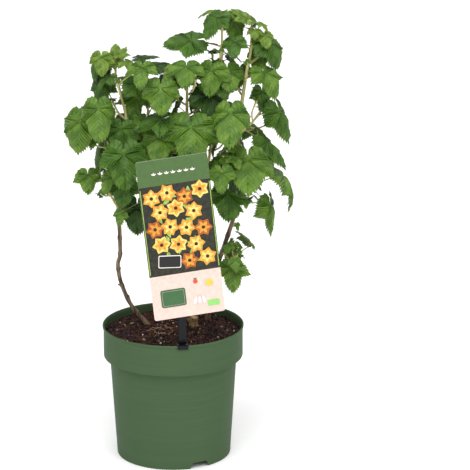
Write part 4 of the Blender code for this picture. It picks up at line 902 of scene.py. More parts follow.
class Look:
    """A Principled BSDF that patterns are added to."""

    def __init__(self, name, colour, roughness, **values):
        self.made = bpy.data.materials.new(name)
        self.made.use_nodes = True
        self.nodes = self.made.node_tree.nodes
        self.shader = self.nodes["Principled BSDF"]
        self.shader.inputs["Base Color"].default_value = linear(colour)
        self.shader.inputs["Roughness"].default_value = roughness
        for socket, value in values.items():
            self.shader.inputs[socket.replace("_", " ")].default_value = value
        self.place = self.nodes.new("ShaderNodeTexCoord").outputs["Object"]

    def link(self, output, target):
        """Join two sockets."""
        self.made.node_tree.links.new(output, target)

    def noise(self, scale, detail=4.0, stretch=(1, 1, 1)):
        """A noise pattern, finer along an axis whose stretch is larger."""
        mapping = self.nodes.new("ShaderNodeMapping")
        mapping.inputs["Scale"].default_value = stretch
        self.link(self.place, mapping.inputs["Vector"])
        texture = self.nodes.new("ShaderNodeTexNoise")
        texture.inputs["Scale"].default_value = scale
        texture.inputs["Detail"].default_value = detail
        self.link(mapping.outputs["Vector"], texture.inputs["Vector"])
        return texture.outputs["Fac"]

    def height(self, low, high):
        """How far a place is between two heights, from 0 to 1."""
        split = self.nodes.new("ShaderNodeSeparateXYZ")
        self.link(self.place, split.inputs["Vector"])
        span = self.nodes.new("ShaderNodeMapRange")
        span.inputs["From Min"].default_value = low
        span.inputs["From Max"].default_value = high
        self.link(split.outputs["Z"], span.inputs["Value"])
        return span.outputs["Result"]

    def ramp(self, value, *stops):
        """Colours at shares of a value."""
        ramp = self.nodes.new("ShaderNodeValToRGB").color_ramp
        while len(ramp.elements) < len(stops):
            ramp.elements.new(0.5)
        for element, (share, colour) in zip(ramp.elements, stops):
            element.position = share
            element.color = linear(colour)
        node = self.nodes[-1]
        self.link(value, node.inputs["Fac"])
        return node.outputs["Color"]

    def mix(self, share, first, second):
        """One colour laid over another by a share, any of which may be a pattern."""
        node = self.nodes.new("ShaderNodeMix")
        node.data_type = "RGBA"
        for socket, value in (("Factor", share), ("A", first), ("B", second)):
            target = next(s for s in node.inputs if s.name == socket and s.enabled)
            if isinstance(value, bpy.types.NodeSocket):
                self.link(value, target)
            else:
                target.default_value = value
        return next(s for s in node.outputs if s.enabled)

    def paint(self, colour):
        """Let a pattern set the colour."""
        self.link(colour, self.shader.inputs["Base Color"])
        return self

    def mottle(self, value, *stops):
        """Paint with colours at shares of a pattern."""
        return self.paint(self.ramp(value, *stops))

    def rough(self, value, low, high):
        """Let a pattern set the roughness between two limits."""
        span = self.nodes.new("ShaderNodeMapRange")
        span.inputs["To Min"].default_value = low
        span.inputs["To Max"].default_value = high
        self.link(value, span.inputs["Value"])
        self.link(span.outputs["Result"], self.shader.inputs["Roughness"])
        return self

    def bump(self, value, distance):
        """Let a pattern raise the surface by a distance."""
        node = self.nodes.new("ShaderNodeBump")
        node.inputs["Distance"].default_value = distance
        self.link(value, node.inputs["Height"])
        self.link(node.outputs["Normal"], self.shader.inputs["Normal"])
        return self


def leaf_look(name, colour, roughness=0.50):
    """A thin green skin with fine grain, which lets a little light through."""
    look = Look(name, colour, roughness, Subsurface_Weight=0.10, Subsurface_Scale=0.002,
                Specular_IOR_Level=0.36)
    look.shader.inputs["Subsurface Radius"].default_value = (0.6, 1.0, 0.2)
    return look.bump(look.noise(380, 4.0), 0.0013).made


# Blades

# The outline without its teeth: angles from the midrib and shares of the midrib's length
OUTLINE = ((0, 1.00), (6, 0.96), (14, 0.885), (23, 0.79), (31, 0.70), (38, 0.61), (44, 0.555),
           (50, 0.595), (58, 0.70), (65, 0.775), (70, 0.79), (78, 0.735), (88, 0.65), (98, 0.60),
           (110, 0.575), (122, 0.565), (136, 0.54), (149, 0.50), (161, 0.45), (170, 0.37), (176, 0.24),
           (180, 0.08))
HALF_LOBES = ((0, 44, 16), (70, 44, 10), (70, 98, 8), (122, 98, 7), (122, 180, 9))  # vein, border, side veins
VEINS = (-122, -70, 0, 70, 122)
VEIN_START = 1.8  # how late the side veins leave the main one
EDGE_SAMPLES = 80  # of a half lobe's edge, from which its teeth are spaced
TOOTH_LEAN = 2.2  # degrees by which a tooth leans to its lobe's tip
NOTCH_DEPTH = 0.8  # of a notch between teeth, as a share of a tooth's height
PUFF = 0.085  # height of a field between two veins, as a share of its width
QUILT = 0.060  # height of the skin between two side veins
# A blade's waves: their height, and how close they are round it, or along and across it
WAVE = (0.045, 3)
FRILL = (0.024, 19)  # of the edge
CRUMPLE = (0.015, 13, 11)
UNEVEN = 0.05  # how far a blade's lobes are from even, in length and in radians
SHEET = 0.00036  # a blade's real thickness
VEIN_RADIUS = (0.00018, 0.007)  # a main vein's least radius, and what it gains as a share of the blade
VEIN_POINTS = 8
VEIN_REACH = 0.93  # of the outline


def outline(degrees):
    """How far a blade without teeth reaches at an angle from its midrib."""
    return np.interp(np.abs(degrees), *zip(*OUTLINE))


def polar(reach, degrees):
    """A place on a flat blade."""
    return np.array([reach * math.cos(math.radians(degrees)), reach * math.sin(math.radians(degrees))])


def half_lobe(vein, border, ray_steps, edge_steps, depth):
    """Points on a main vein, and the points that the skin reaches from them on the border and the edge."""
    count = ray_steps + edge_steps
    tip = outline(vein) * (1 + depth)
    main = [polar(tip * (i / count) ** VEIN_START, vein) for i in range(count + 1)]
    side = [polar(outline(border) * i / ray_steps, border) for i in range(ray_steps)]
    angles = np.linspace(border, vein, EDGE_SAMPLES)
    places = np.array([polar(outline(angle), angle) for angle in angles])
    lengths = np.concatenate([[0], np.cumsum(np.linalg.norm(np.diff(places, axis=0), axis=1))])
    for j in range(edge_steps + 1):
        angle = np.interp(lengths[-1] * j / edge_steps, lengths, angles)
        reach = outline(angle)
        tooth = depth * min(1.0, (reach / 0.35) ** 2) * (0 if j == 0 else 1 if j % 2 else -NOTCH_DEPTH)
        lean = math.copysign(TOOTH_LEAN, vein - angle) if j % 2 and j < edge_steps else 0
        side.append(polar(reach * (1 + tooth), angle + lean))
    return main, side


def blade_form(detail, ray_steps, tooth, across, below):
    """A flat blade as points with their lifts and layers, and the faces of its two sides.

    Its edge is shared by both sides, and its faces follow the side veins, which end in the teeth.
    """
    places, index = [], {}
    top, under, shaded_rows = [], [], []

    def corner(place, lift, layer):
        """The index of a point, which is shared where it is there already."""
        key = (round(place[0], 4), round(place[1], 4), layer)
        if key not in index:
            index[key] = len(places)
            places.append((*place, lift, layer))
        return index[key]

    for mirror in (1, -1):
        for vein, border, side_veins in HALF_LOBES:
            edge_steps = max(3, round(side_veins * detail))
            count = ray_steps + edge_steps
            main, side = half_lobe(vein, border, ray_steps, edge_steps, tooth)
            for layer, shares in enumerate((across, below)):
                rows = []
                for i in range(count + 1):
                    width = np.linalg.norm(side[i] - main[i])
                    ridge = 1 - (i - ray_steps) % 2
                    at_edge = min(max((i - ray_steps) / 3, 0), 1)
                    row = []
                    for share in shares:
                        place = (main[i] * (1 - share) + side[i] * share) * (1, mirror)
                        swell = mix((math.sin(math.pi / 2 * share), 0.8 * math.sin(math.pi * share)), at_edge)
                        lift = PUFF * width * swell
                        lift += QUILT * ridge * share ** 0.5 * (1 - 0.35 * share) * min(1, width / 0.15)
                        rim = i == count or (share == 1 and i >= ray_steps)
                        row.append(corner(place, lift, 0 if rim else layer))
                    rows.append(row)
                flip = (border > vein) != (mirror > 0)
                for i, (low, high) in enumerate(zip(rows, rows[1:])):
                    for j in range(len(shares) - 1):
                        face = list(dict.fromkeys((low[j], high[j], high[j + 1], low[j + 1])))
                        if len(face) < 3:
                            continue
                        (under if layer else top).append(face[::-1] if flip != (layer > 0) else face)
                        # every other row of top faces is marked here for painted shade
                        if not layer:
                            shaded_rows.append((i - ray_steps) % 2)
    places = np.array(places)
    middles = np.array([places[face, :2].mean(axis=0) for face in top])
    return places, top, under, np.array(shaded_rows), middles


BLADE_FORMS = (blade_form(0.5, 2, 0.115, (0, 0.45, 1), (0, 1)),
               blade_form(0.8, 3, 0.088, (0, 0.15, 0.55, 1), (0, 1)),
               blade_form(1, 4, 0.080, (0, 0.12, 0.35, 0.65, 1), (0, 0.40, 1)))
FORM_SIZES = (0.019, 0.034)  # the blades' lengths at which the next form takes over
LOBE_DEPTHS = ((0.9, 1.5), (0.75, 1.4), (0.60, 1.10))  # of each form


def bent(leaf, x, y, lift):
    """Places on a flat blade, as shares of its length, carried to the bent blade."""
    across_turn = leaf.fold * y
    across = y * np.sinc(across_turn / np.pi)
    droop = y * across_turn / 2 * np.sinc(across_turn / 2 / np.pi) ** 2
    turn = leaf.curl * x
    forward = x * np.sinc(turn / np.pi) - droop * np.sin(turn)
    drop = x * turn / 2 * np.sinc(turn / 2 / np.pi) ** 2 + droop * np.cos(turn)
    axis, normal = np.array(leaf.axis), np.array(leaf.normal)
    side = np.cross(normal, axis)
    place = np.outer(forward, axis) + np.outer(across, side) - np.outer(drop, normal)
    out = (np.outer(np.cos(turn) * np.cos(across_turn), normal) + np.outer(np.sin(turn), axis)
           + np.outer(np.cos(turn) * np.sin(across_turn), side))
    return np.array(leaf.junction) + (place + out * lift[:, None]) * leaf.blade


def blade_shape(leaf):
    """What makes one blade differ from the next: its lobes' depth, its evenness and its edge's waves."""
    rng = random.Random(f"{leaf.mass} {leaf.junction.x:.4f} {leaf.junction.z:.4f}")
    depths = LOBE_DEPTHS[np.digitize(leaf.blade, FORM_SIZES)]
    return rng.uniform(*depths), rng.uniform(0, 6.28), rng.uniform(-1, 1), rng.uniform(0, 6.28)


def shaped(shape, x, y, lift):
    """A blade's own outline and waves."""
    depth, phase, lean, wave = shape
    angle = np.arctan2(y, x)
    reach = np.hypot(x, y)
    grow = outline(np.degrees(angle)) ** (depth - 1) * (1 + UNEVEN * np.sin(2 * angle + phase))
    angle = angle + UNEVEN * lean * np.cos(angle / 2)
    height, count = WAVE
    lift = lift + height * np.sin(count * angle + wave) * reach ** 2
    height, count = FRILL
    lift = lift + height * np.sin(count * angle + 2 * phase) * np.minimum(reach * 1.2, 1) ** 4
    height, count, across = CRUMPLE
    lift = lift + height * np.sin(count * x + phase) * np.sin(across * y + wave) * np.minimum(reach * 3, 1)
    return reach * grow * np.cos(angle), reach * grow * np.sin(angle), lift


def add_blade(pile, leaf, top, under):
    """A blade with a colour below, and above the shades of its tint in cloudy patches, with painted shade on
    every other row of faces along the side veins.
    """
    places, upper, lower, shaded_rows, middles = BLADE_FORMS[np.digitize(leaf.blade, FORM_SIZES)]
    shape = blade_shape(leaf)
    x, y, lift = shaped(shape, *places.T[:3])
    points = bent(leaf, x, y, lift - places.T[3] * SHEET / leaf.blade)
    _, phase, _, wave = shape
    a, b = middles.T
    cloud = np.sin(7 * a + phase) * np.sin(6 * b + wave) + np.sin(17 * a + 11 * b + wave) * 0.6
    shades = np.digitize(cloud * SHADE_CLOUD - shaded_rows * RIB_PAINTED_SHADE + SHADE_FIELD, SHADE_STEPS) + top * SHADES
    pile.add(points.tolist(), upper + lower, under)
    first = len(pile.slots) - len(upper) - len(lower)
    pile.slots[first:first + len(upper)] = shades.tolist()


def add_veins(pile, leaf):
    """The main veins, which stand out below the blade and a little above it."""
    shape = blade_shape(leaf)
    radius = VEIN_RADIUS[0] + leaf.blade * VEIN_RADIUS[1]
    for degrees in VEINS:
        reach = outline(degrees) * VEIN_REACH * np.linspace(0, 1, VEIN_POINTS)
        turn = math.radians(degrees)
        x, y, lift = shaped(shape, reach * math.cos(turn), reach * math.sin(turn), np.zeros(VEIN_POINTS))
        sunk = (radius * 0.55 + SHEET / 2) / leaf.blade
        points = [Vector(point) for point in bent(leaf, x, y, lift - sunk)]
        pile.add(*tube_skin(points, taper(points, radius, radius * 0.4), 4, first_side=leaf.normal))


# Twigs, stalks and buds

SMALL_LEAVES = 3  # more leaves that each twig tries to grow
SMALL_SIZE = (0.45, 0.62)  # of a full-grown blade
SPURS = 3  # short shoots on each stem
SPUR_LENGTH = (0.010, 0.018)
SPUR_LEAF_SIZE = (0.35, 0.5)
SPURS_BETWEEN = (0.12, 0.8)  # shares of a stem
TUFT = 3  # young leaves folded round each tip
TUFT_BLADE = (0.006, 0.011)
TUFT_DROOP = (-55, -15)
TUFT_STALK = (0.003, 0.006)
TUFT_BEND = (0.5, 2.0)  # radians along and across
TWIG_STEP = 0.0025
TWIG_SWELL = (0.30, 0.0022)  # of a twig where a stalk leaves it: by how much, and how far along
BUD_SIZE = (0.0009, 0.0014)
BUD_SHARE = 0.7  # of the larger leaves that have a bud above their stalk
BUD_FORM = ((0, 0.35), (0.5, 0.68), (1.0, 0.75), (1.6, 0.58), (2.2, 0.30), (2.7, 0.06))  # length and radius


def small_leaf(mass, root, direction, azimuth, size, rng, room):
    """A small leaf where there is room for it."""
    return find_leaf(mass._replace(blade=mass.blade * size), root, direction, azimuth, 0.0, rng, room)


def grow_fine(mass, twigs, room):
    """Spurs, small leaves, and the young leaves at the tips, which are folded close and need no room."""
    spurs, leaves = [], []
    for i in range(SPURS):
        rng = random.Random(f"{mass.name} spur {i}")
        root, direction = along(twigs[0].points, mix(SPURS_BETWEEN, i / (SPURS - 1)))
        out = sideways(direction, math.radians(mass.turn + 70) + i * GOLDEN_ANGLE)
        length = rng.uniform(*SPUR_LENGTH)
        middle = root + (direction * 0.4 + out) * length * 0.5
        points = [root, middle, root + (direction + out) * length * 0.75]
        spur = Twig(points, taper(points, TIP_RADIUS * 0.9, TIP_RADIUS * 0.7), SIDE_TWIG_SIDES)
        if room.clear(twig_piece(mass, spur, room), skip=mass.name):
            room.add(twig_piece(mass, spur, room))
            spurs.append(spur)
            for k in range(2):
                size = rng.uniform(*SPUR_LEAF_SIZE)
                leaves += small_leaf(mass, *along(points, 0.97), k * math.pi + i, size, rng, room)
    for k, twig in enumerate(twigs):
        for i in range(SMALL_LEAVES):
            rng = random.Random(f"{mass.name} small {k} {i}")
            place = along(twig.points, rng.uniform(0.3, 0.95))
            leaves += small_leaf(mass, *place, rng.uniform(0, 6.28), rng.uniform(*SMALL_SIZE), rng, room)
    for k, twig in enumerate(twigs + spurs):
        tip, direction = along(twig.points, 1.0)
        for i in range(TUFT):
            rng = random.Random(f"{mass.name} tuft {k} {i}")
            out = sideways(direction, i * GOLDEN_ANGLE + rng.uniform(-0.3, 0.3))
            leave = (direction + out * 0.5).normalized()
            junction = tip - direction * 0.0012 * i + leave * rng.uniform(*TUFT_STALK)
            blade = rng.uniform(*TUFT_BLADE)
            droop = math.radians(rng.uniform(*TUFT_DROOP))
            root = tip - direction * 0.0015 * i
            leaves.append(make_leaf(mass, root, leave, junction, level(out), droop, 0, blade, *TUFT_BEND))
    return spurs, leaves


def add_stalk(pile, leaf, rng):
    """A leaf's stalk, thick where it leaves its twig, which runs on into the midrib."""
    radius = stalk_radius(leaf.blade)
    root, near, far, seat = leaf.stalk
    points = interpolate_bezier(root, near, far, seat, 9)
    points += [leaf.junction - leaf.normal * radius * 0.7, leaf.junction + leaf.axis * leaf.blade * 0.1
               - leaf.normal * radius * 0.5]
    radii = taper(points, radius, radius * 0.62)
    radii[0] *= 1.5
    radii[1] *= 1.15
    radii[-1] *= 0.5
    pile.add(*tube_skin(points, radii, 7), 0 if rng.random() < 0.6 else 1)


def add_twig(pile, twig, roots, into=None):
    """A twig with a swelling where each stalk leaves it; it may start deep in its limb."""
    points = smooth_course(twig.points, TWIG_STEP)
    radii = taper(points, twig.radii[0], twig.radii[-1])
    swell, spread = TWIG_SWELL
    for i, point in enumerate(points):
        near = min([(point - root).length for root in roots], default=1)
        radii[i] *= 1 + swell * math.exp(-(near / spread) ** 2)
    if into:
        points.insert(0, into)
        radii.insert(0, radii[0] * 1.1)
    points.append(points[-1] + (points[-1] - points[-2]).normalized() * radii[-1])
    radii.append(radii[-1] * 0.5)
    pile.add(*tube_skin(points, radii, 10))


def add_bud(pile, at, out, direction, size, slot=0):
    """A pointed bud that leans from a stem."""
    leave = (out * 0.55 + direction * 0.85).normalized()
    points = [at + out * size * 0.3 + leave * size * share for share, _ in BUD_FORM]
    pile.add(*tube_skin(points, [size * radius for _, radius in BUD_FORM], 8), slot)


# Foliage colours

# The darkest and the palest shade of each tint
TINTS = {"leaf dark": ((26, 52, 10), (49, 80, 20)), "leaf mid": ((45, 79, 15), (75, 112, 29)),
         "leaf light": ((60, 96, 21), (101, 134, 43)), "leaf young": ((70, 100, 22), (117, 144, 49))}
SHADES = 5
SHADE_STEPS = (-0.8, -0.3, 0.2, 0.7)
# How far clouds change a blade's shade, how much painted shade darkens every other row of faces along its
# side veins, and how pale its fields are
SHADE_CLOUD, RIB_PAINTED_SHADE, SHADE_FIELD = 0.7, 0.8, 0.3
UNDERSIDE = len(TINTS) * SHADES  # the slot of a grown leaf's underside; a young leaf's is the next
UNDERSIDES = {"leaf underside": (94, 121, 51), "young underside": (120, 145, 57)}
# How much paler the leaves of a mass are: painted light on the side and low masses, which the lamps leave
# dimmer, and painted shade on the two top masses
MASS_PAINTED_LIGHT = {"leaves_left_side": 0.5, "leaves_right_side": 0.4, "leaves_right_low": 0.9,
              "leaves_right_foot": 2, "leaves_middle_top": -0.35, "leaves_centre_top": -0.35}
# How pale a leaf is: it grows from nought at a height, over a rise, and towards the front, which paints shade
# on low and hind leaves and light on high and front ones
PALE_FROM = 0.30
PALE_RISE = 0.30
FRONT_PAINTED_LIGHT = 7  # for each metre
PALE_SPREAD = 0.35
PALE_SMALL = 0.4  # more for a small leaf
SMALL_BLADE = 0.56  # of a full-grown one
TINT_STEPS = (0.30, 0.85)  # from dark to mid and from mid to light
YOUNG_REACH = 0.030  # from the tip of a mass
YOUNG_HEIGHT = 0.49
YOUNG_BLADE = 0.85  # of a full-grown one


def leaf_tint(mass, leaf):
    """A leaf's tint and its underside's: small and high leaves are young, low and hind ones are darker as
    painted shade, and some masses are paler or darker as painted light and shade.
    """
    rng = random.Random(f"tint {leaf.junction.x:.4f} {leaf.junction.z:.4f}")
    near_tip = (leaf.junction - Vector(mass.course[-1])).length < YOUNG_REACH
    if near_tip and leaf.junction.z > YOUNG_HEIGHT and leaf.blade < mass.blade * YOUNG_BLADE:
        return 3, UNDERSIDE + 1
    # painted shade: lower leaves and those further back get darker tints, high and front ones paler
    pale = (leaf.junction.z - PALE_FROM) / PALE_RISE - leaf.junction.y * FRONT_PAINTED_LIGHT
    pale += rng.gauss(0, PALE_SPREAD)
    pale += PALE_SMALL if leaf.blade < mass.blade * SMALL_BLADE else 0
    # painted light and shade for the whole mass
    pale += MASS_PAINTED_LIGHT.get(mass.name, 0)
    return sum(pale >= step for step in TINT_STEPS), UNDERSIDE


def make_foliage(courses, twigs, leaves, room):
    """The blades of each mass as a piece; the stems, veins, stalks and buds of all as one piece each."""
    greens = [leaf_look(f"{name} {shade + 1}", [mix(ends, shade / (SHADES - 1)) for ends in zip(*tint)])
              for name, tint in TINTS.items() for shade in range(SHADES)]
    greens += [leaf_look(name, colour) for name, colour in UNDERSIDES.items()]
    veins = Pile(leaf_look("vein", (116, 148, 70), 0.6))
    stalks = Pile(leaf_look("stalk green", (158, 164, 98)), leaf_look("stalk khaki", (168, 148, 104)))
    stems = Pile(stem_look())
    buds = Pile(leaf_look("bud scale", (150, 132, 84), 0.55))
    for mass in MASSES:
        spurs, fine = grow_fine(mass, twigs[mass.name], room)
        own = [leaf for leaf in leaves if leaf.mass == mass.name] + fine
        blades = Pile(*greens)
        rng = random.Random(mass.name + " finish")
        for leaf in own:
            add_blade(blades, leaf, *leaf_tint(mass, leaf))
            add_stalk(stalks, leaf, rng)
            if leaf.blade > FORM_SIZES[0]:
                add_veins(veins, leaf)
        blades.piece("blades" + mass.name.removeprefix("leaves"), "leaf", mass.name, sharp=60)
        roots = [leaf.stalk[0] for leaf in own]
        limb_place, _ = along(courses[mass.limb], mass.share)
        for twig in twigs[mass.name] + spurs:
            is_stem = twig is twigs[mass.name][0]
            add_twig(stems, twig, roots, into=limb_place if is_stem and mass.share < 1 else None)
        for leaf in own:
            if leaf.blade > FORM_SIZES[0] and rng.random() < BUD_SHARE:
                out = (leaf.stalk[1] - leaf.stalk[0]).normalized()
                add_bud(buds, leaf.stalk[0] + out * 0.0012, out, UP, rng.uniform(*BUD_SIZE))
    names = [mass.name for mass in MASSES]
    stems.piece("green_stems", "leaf", *names)
    veins.piece("leaf_veins", "leaf", *names)
    stalks.piece("leaf_stalks", "leaf", *names)
    buds.piece("leaf_buds", "leaf", *names, sharp=70)


# Bark

def stem_look():
    """Young bark: pale khaki with green and a few darker flecks."""
    look = Look("young bark", (196, 188, 118), 0.6)
    look.mottle(look.noise(260, 3.0, (1, 1, 0.12)), (0.35, (180, 174, 104)), (0.7, (212, 202, 142)))
    return look.bump(look.noise(700, 4.0, (1, 1, 0.2)), 0.0002).made


def bark_look():
    """Cane bark: tan at the foot, dark brown with paler streaks above, khaki near the leaves."""
    look = Look("cane bark", (96, 76, 60), 0.8)
    rise = look.ramp(look.height(SOIL_TOP, 0.47), (0.0, (120, 92, 58)), (0.10, (86, 66, 48)),
                     (0.45, (98, 72, 52)), (0.62, (126, 92, 64)), (0.76, (176, 160, 106)),
                     (1.0, (196, 188, 118)))
    streaks = look.ramp(look.noise(300, 4.0, (1, 1, 0.05)), (0.42, (0, 0, 0)), (0.60, (255, 255, 255)))
    pale = look.mix(0.7, rise, linear((146, 128, 104)))
    colour = look.mix(streaks, look.mix(0.6, rise, linear((44, 33, 27))), pale)
    grain = look.noise(520, 6.0, (1, 1, 0.09))
    return look.paint(colour).rough(look.noise(300), 0.65, 0.92).bump(grain, 0.0006).made


CANE_SIDES = 22
CANE_STEP = 0.0012
CANE_SUNK = 0.004  # how far a cane goes on below the soil's surface
NODE_STEP = 0.027  # between the buds of a cane
FIRST_NODE = (0.7, 1.2)  # steps from the foot
NODE_SPREAD = (0.8, 1.2)
LAST_NODE = 0.01  # at least this far below the top
NODE_SWELL = (0.22, 0.0028)  # by how much a cane swells at a bud, and how far along
FLARE_HEIGHT = 0.009
# Uneven bark: by how much, how close round the cane, and how close for each metre along it
RIDGES = (0.10, 1.6, 45)
KNOBS = (0.06, 0.5, 160)
BARK_GIRTH = 2.2
CANE_BUD_SIZE = (0.0011, 0.0017)
CANE_BUD_SEAT = 0.8  # of the cane's radius


def cane_skin(limb, rng):
    """A cane with ridged bark and swollen nodes, and where its buds sit."""
    line = smooth_course(limb.course, CANE_STEP)
    down = (line[0] - line[1]).normalized()
    line = [line[0] + down * CANE_SUNK * share for share in (1.0, 0.66, 0.33)] + line
    radii = taper(line, limb.thick, limb.thin)
    buds, next_bud = [], NODE_STEP * rng.uniform(*FIRST_NODE)
    lengths = np.concatenate([[0], np.cumsum([(b - a).length for a, b in zip(line, line[1:])])])
    flare = (FOOT_FLARE - 1) * np.exp(-(lengths / FLARE_HEIGHT) ** 2)
    swell = np.zeros(len(line))
    while next_bud < lengths[-1] - LAST_NODE:
        i = int(np.searchsorted(lengths, next_bud))
        buds.append((line[i], (line[i + 1] - line[i]).normalized(), radii[i]))
        swell += NODE_SWELL[0] * np.exp(-((lengths - next_bud) / NODE_SWELL[1]) ** 2)
        next_bud += NODE_STEP * rng.uniform(*NODE_SPREAD)
    radii = [radius * grow for radius, grow in zip(radii, 1 + swell + flare)]
    points, faces = tube_skin(line, radii, CANE_SIDES)
    shift = Vector((rng.uniform(-9, 9), rng.uniform(-9, 9), 0))
    for k, point in enumerate(points):
        ring = min(k // CANE_SIDES, len(line) - 1)
        turn = 2 * math.pi * (k % CANE_SIDES) / CANE_SIDES
        around = Vector((math.cos(turn), math.sin(turn), 0)) * BARK_GIRTH
        grow = 1
        for height, often, along_often in (RIDGES, KNOBS):
            grow += height * noise.noise(around * often + shift + UP * lengths[ring] * along_often)
        points[k] = line[ring] + (point - line[ring]) * grow
    return points, faces, buds


def make_canes():
    """The canes, each one piece with its old buds."""
    bark = bark_look()
    scale = leaf_look("old bud", (92, 66, 50), 0.75)
    for limb in LIMBS:
        rng = random.Random(limb.name)
        points, faces, buds = cane_skin(limb, rng)
        pile = Pile(bark, scale)
        pile.add(points, faces)
        for i, (place, direction, radius) in enumerate(buds):
            out = sideways(direction, i * GOLDEN_ANGLE)
            seat = place + out * radius * CANE_BUD_SEAT
            add_bud(pile, seat, out, direction, rng.uniform(*CANE_BUD_SIZE), 1)
        pile.piece(limb.name.replace("cane", "bark"), "bark", limb.name, sharp=70)


STUMP_SIDES = 28
STUMP_RINGS = 14
STUMP_SUNK = 4  # more rings below the soil's surface
STUMP_BARK = (0.16, 420)  # how uneven, and how fine for each metre
STUMP_STUBS = 5
STUB_RADII = (0.0012, 0.0009, 0.0005)


def make_stump():
    """The pruned stump, with its cut face and a few short stubs."""
    look = Look("stump bark", (138, 108, 74), 0.85)
    look.mottle(look.noise(300, 5.0, (1, 1, 0.2)), (0.35, (104, 80, 54)), (0.7, (168, 136, 92)))
    look.bump(look.noise(500, 5.0, (1, 1, 0.2)), 0.0006)
    wood = Look("cut wood", (188, 158, 112), 0.8)
    wood.mottle(wood.noise(700, 3.0), (0.4, (170, 138, 92)), (0.7, (206, 178, 130)))
    pile = Pile(look.made, wood.made)
    foot = Vector((*STUMP_AT, FOOT))
    top = foot + Vector((*STUMP_LEAN, STUMP_HEIGHT))
    shares = [i / STUMP_RINGS for i in range(-STUMP_SUNK, STUMP_RINGS + 1)]
    line = [foot.lerp(top, share) for share in shares]
    radii = [np.interp(share, (0, 0.4, 1), STUMP_RADII) for share in shares]
    skin, faces = tube_skin(line, radii, STUMP_SIDES)
    for k, point in enumerate(skin):
        centre = line[k // STUMP_SIDES]
        skin[k] = centre + (point - centre) * (1 + STUMP_BARK[0] * noise.noise(point * STUMP_BARK[1]))
    pile.add(skin, faces)
    pile.slots[-1] = 1
    rng = random.Random("stump")
    for _ in range(STUMP_STUBS):
        turn = rng.uniform(0, 6.28)
        out = Vector((math.cos(turn), math.sin(turn), 0))
        start = foot + out * 0.004 + UP * rng.uniform(0.002, 0.009)
        stub = [start, start + out * 0.003 + UP * 0.002, start + out * 0.005 + UP * 0.0055]
        pile.add(*tube_skin(stub, STUB_RADII, 7))
    pile.piece("stump_wood", "bark", "pruned_stump", sharp=45)


# Pot

POT_SIDES = 144
POT_ROUNDING = 0.0009
POT_SHARP = 35
NOTCH_ROUNDING = 0.004
DRAIN_SIDES = 24


def pot_look():
    """Satin green plastic with faint turned streaks and a few scuffs."""
    look = Look("pot plastic", (68, 92, 58), 0.48, Specular_IOR_Level=0.03)
    streak = look.ramp(look.noise(30, 5.0, (0.3, 0.3, 12)), (0.35, (70, 92, 64)), (0.7, (74, 95, 67)))
    scuffs = look.ramp(look.noise(9, 3.0), (0.4, (0, 0, 0)), (0.75, (70, 70, 70)))
    look.paint(look.mix(scuffs, streak, linear((81, 101, 74))))
    return look.rough(look.noise(30, 5.0), 0.42, 0.56).bump(look.noise(650, 4.0), 0.00006).made


def pot_profile():
    """Half of the pot's section, from the middle of its underside round to the middle of its floor."""
    band_foot = POT_HEIGHT - BAND_HEIGHT
    under = [(0, 0), (DISC_RADIUS, 0), (DISC_RADIUS + DISC_SLOPE, FLOOR_RISE),
             (FOOT_RADIUS - RING_WIDTH - RING_SLOPE, FLOOR_RISE), (FOOT_RADIUS - RING_WIDTH, 0)]
    outside = [(FOOT_RADIUS, 0), (SHOULDER_RADIUS, band_foot - BAND_SLOPE), (BAND_FOOT_RADIUS, band_foot),
               (RIM_RADIUS - LIP, POT_HEIGHT - LIP_HEIGHT - LIP), (RIM_RADIUS, POT_HEIGHT - LIP_HEIGHT),
               (RIM_RADIUS, POT_HEIGHT)]
    inside = [(RIM_RADIUS - RIM_EDGE, POT_HEIGHT), (RIM_RADIUS - LIP - WALL, POT_HEIGHT - LIP_HEIGHT),
              (BAND_FOOT_RADIUS - WALL, band_foot + WALL),
              (SHOULDER_RADIUS - WALL, band_foot - BAND_SLOPE + WALL / 2),
              (FOOT_RADIUS - WALL / 2, FLOOR_RISE + WALL), (DISC_RADIUS + DISC_SLOPE / 2, FLOOR_RISE + WALL),
              (DISC_RADIUS - WALL, WALL), (0, WALL)]
    return under, outside, inside


def cutter(name, skin, collection):
    """A hidden solid that the pot is cut with."""
    mesh = bpy.data.meshes.new(name)
    mesh.from_pydata([tuple(point) for point in skin[0]], [], skin[1])
    shape = bmesh.new()
    shape.from_mesh(mesh)
    bmesh.ops.recalc_face_normals(shape, faces=shape.faces)
    shape.to_mesh(mesh)
    shape.free()
    collection.objects.link(bpy.data.objects.new(name, mesh))


def notch_skin(azimuth):
    """A cutter for an opening in the foot ring, with a rounded top."""
    half = NOTCH_WIDTH / 2
    top = FLOOR_RISE - GAP
    arch = [(-half * 1.2, -FLOOR_RISE), (half * 1.2, -FLOOR_RISE), (half, top * 0.3), (half * 0.8, top),
            (-half * 0.8, top), (-half, top * 0.3)]
    arch = rounded(arch + arch[:1], NOTCH_ROUNDING, 4)[1:]
    near, far = -FOOT_RADIUS * 1.1, -FOOT_RADIUS + RING_WIDTH * 2
    points = [Vector((x, y, z)) for y in (near, far) for x, z in arch]
    count = len(arch)
    faces = [list(range(count)), list(range(2 * count - 1, count - 1, -1))]
    faces += [(i, (i + 1) % count, (i + 1) % count + count, i + count) for i in range(count)]
    return turn_about_axis(points, math.radians(azimuth)), faces


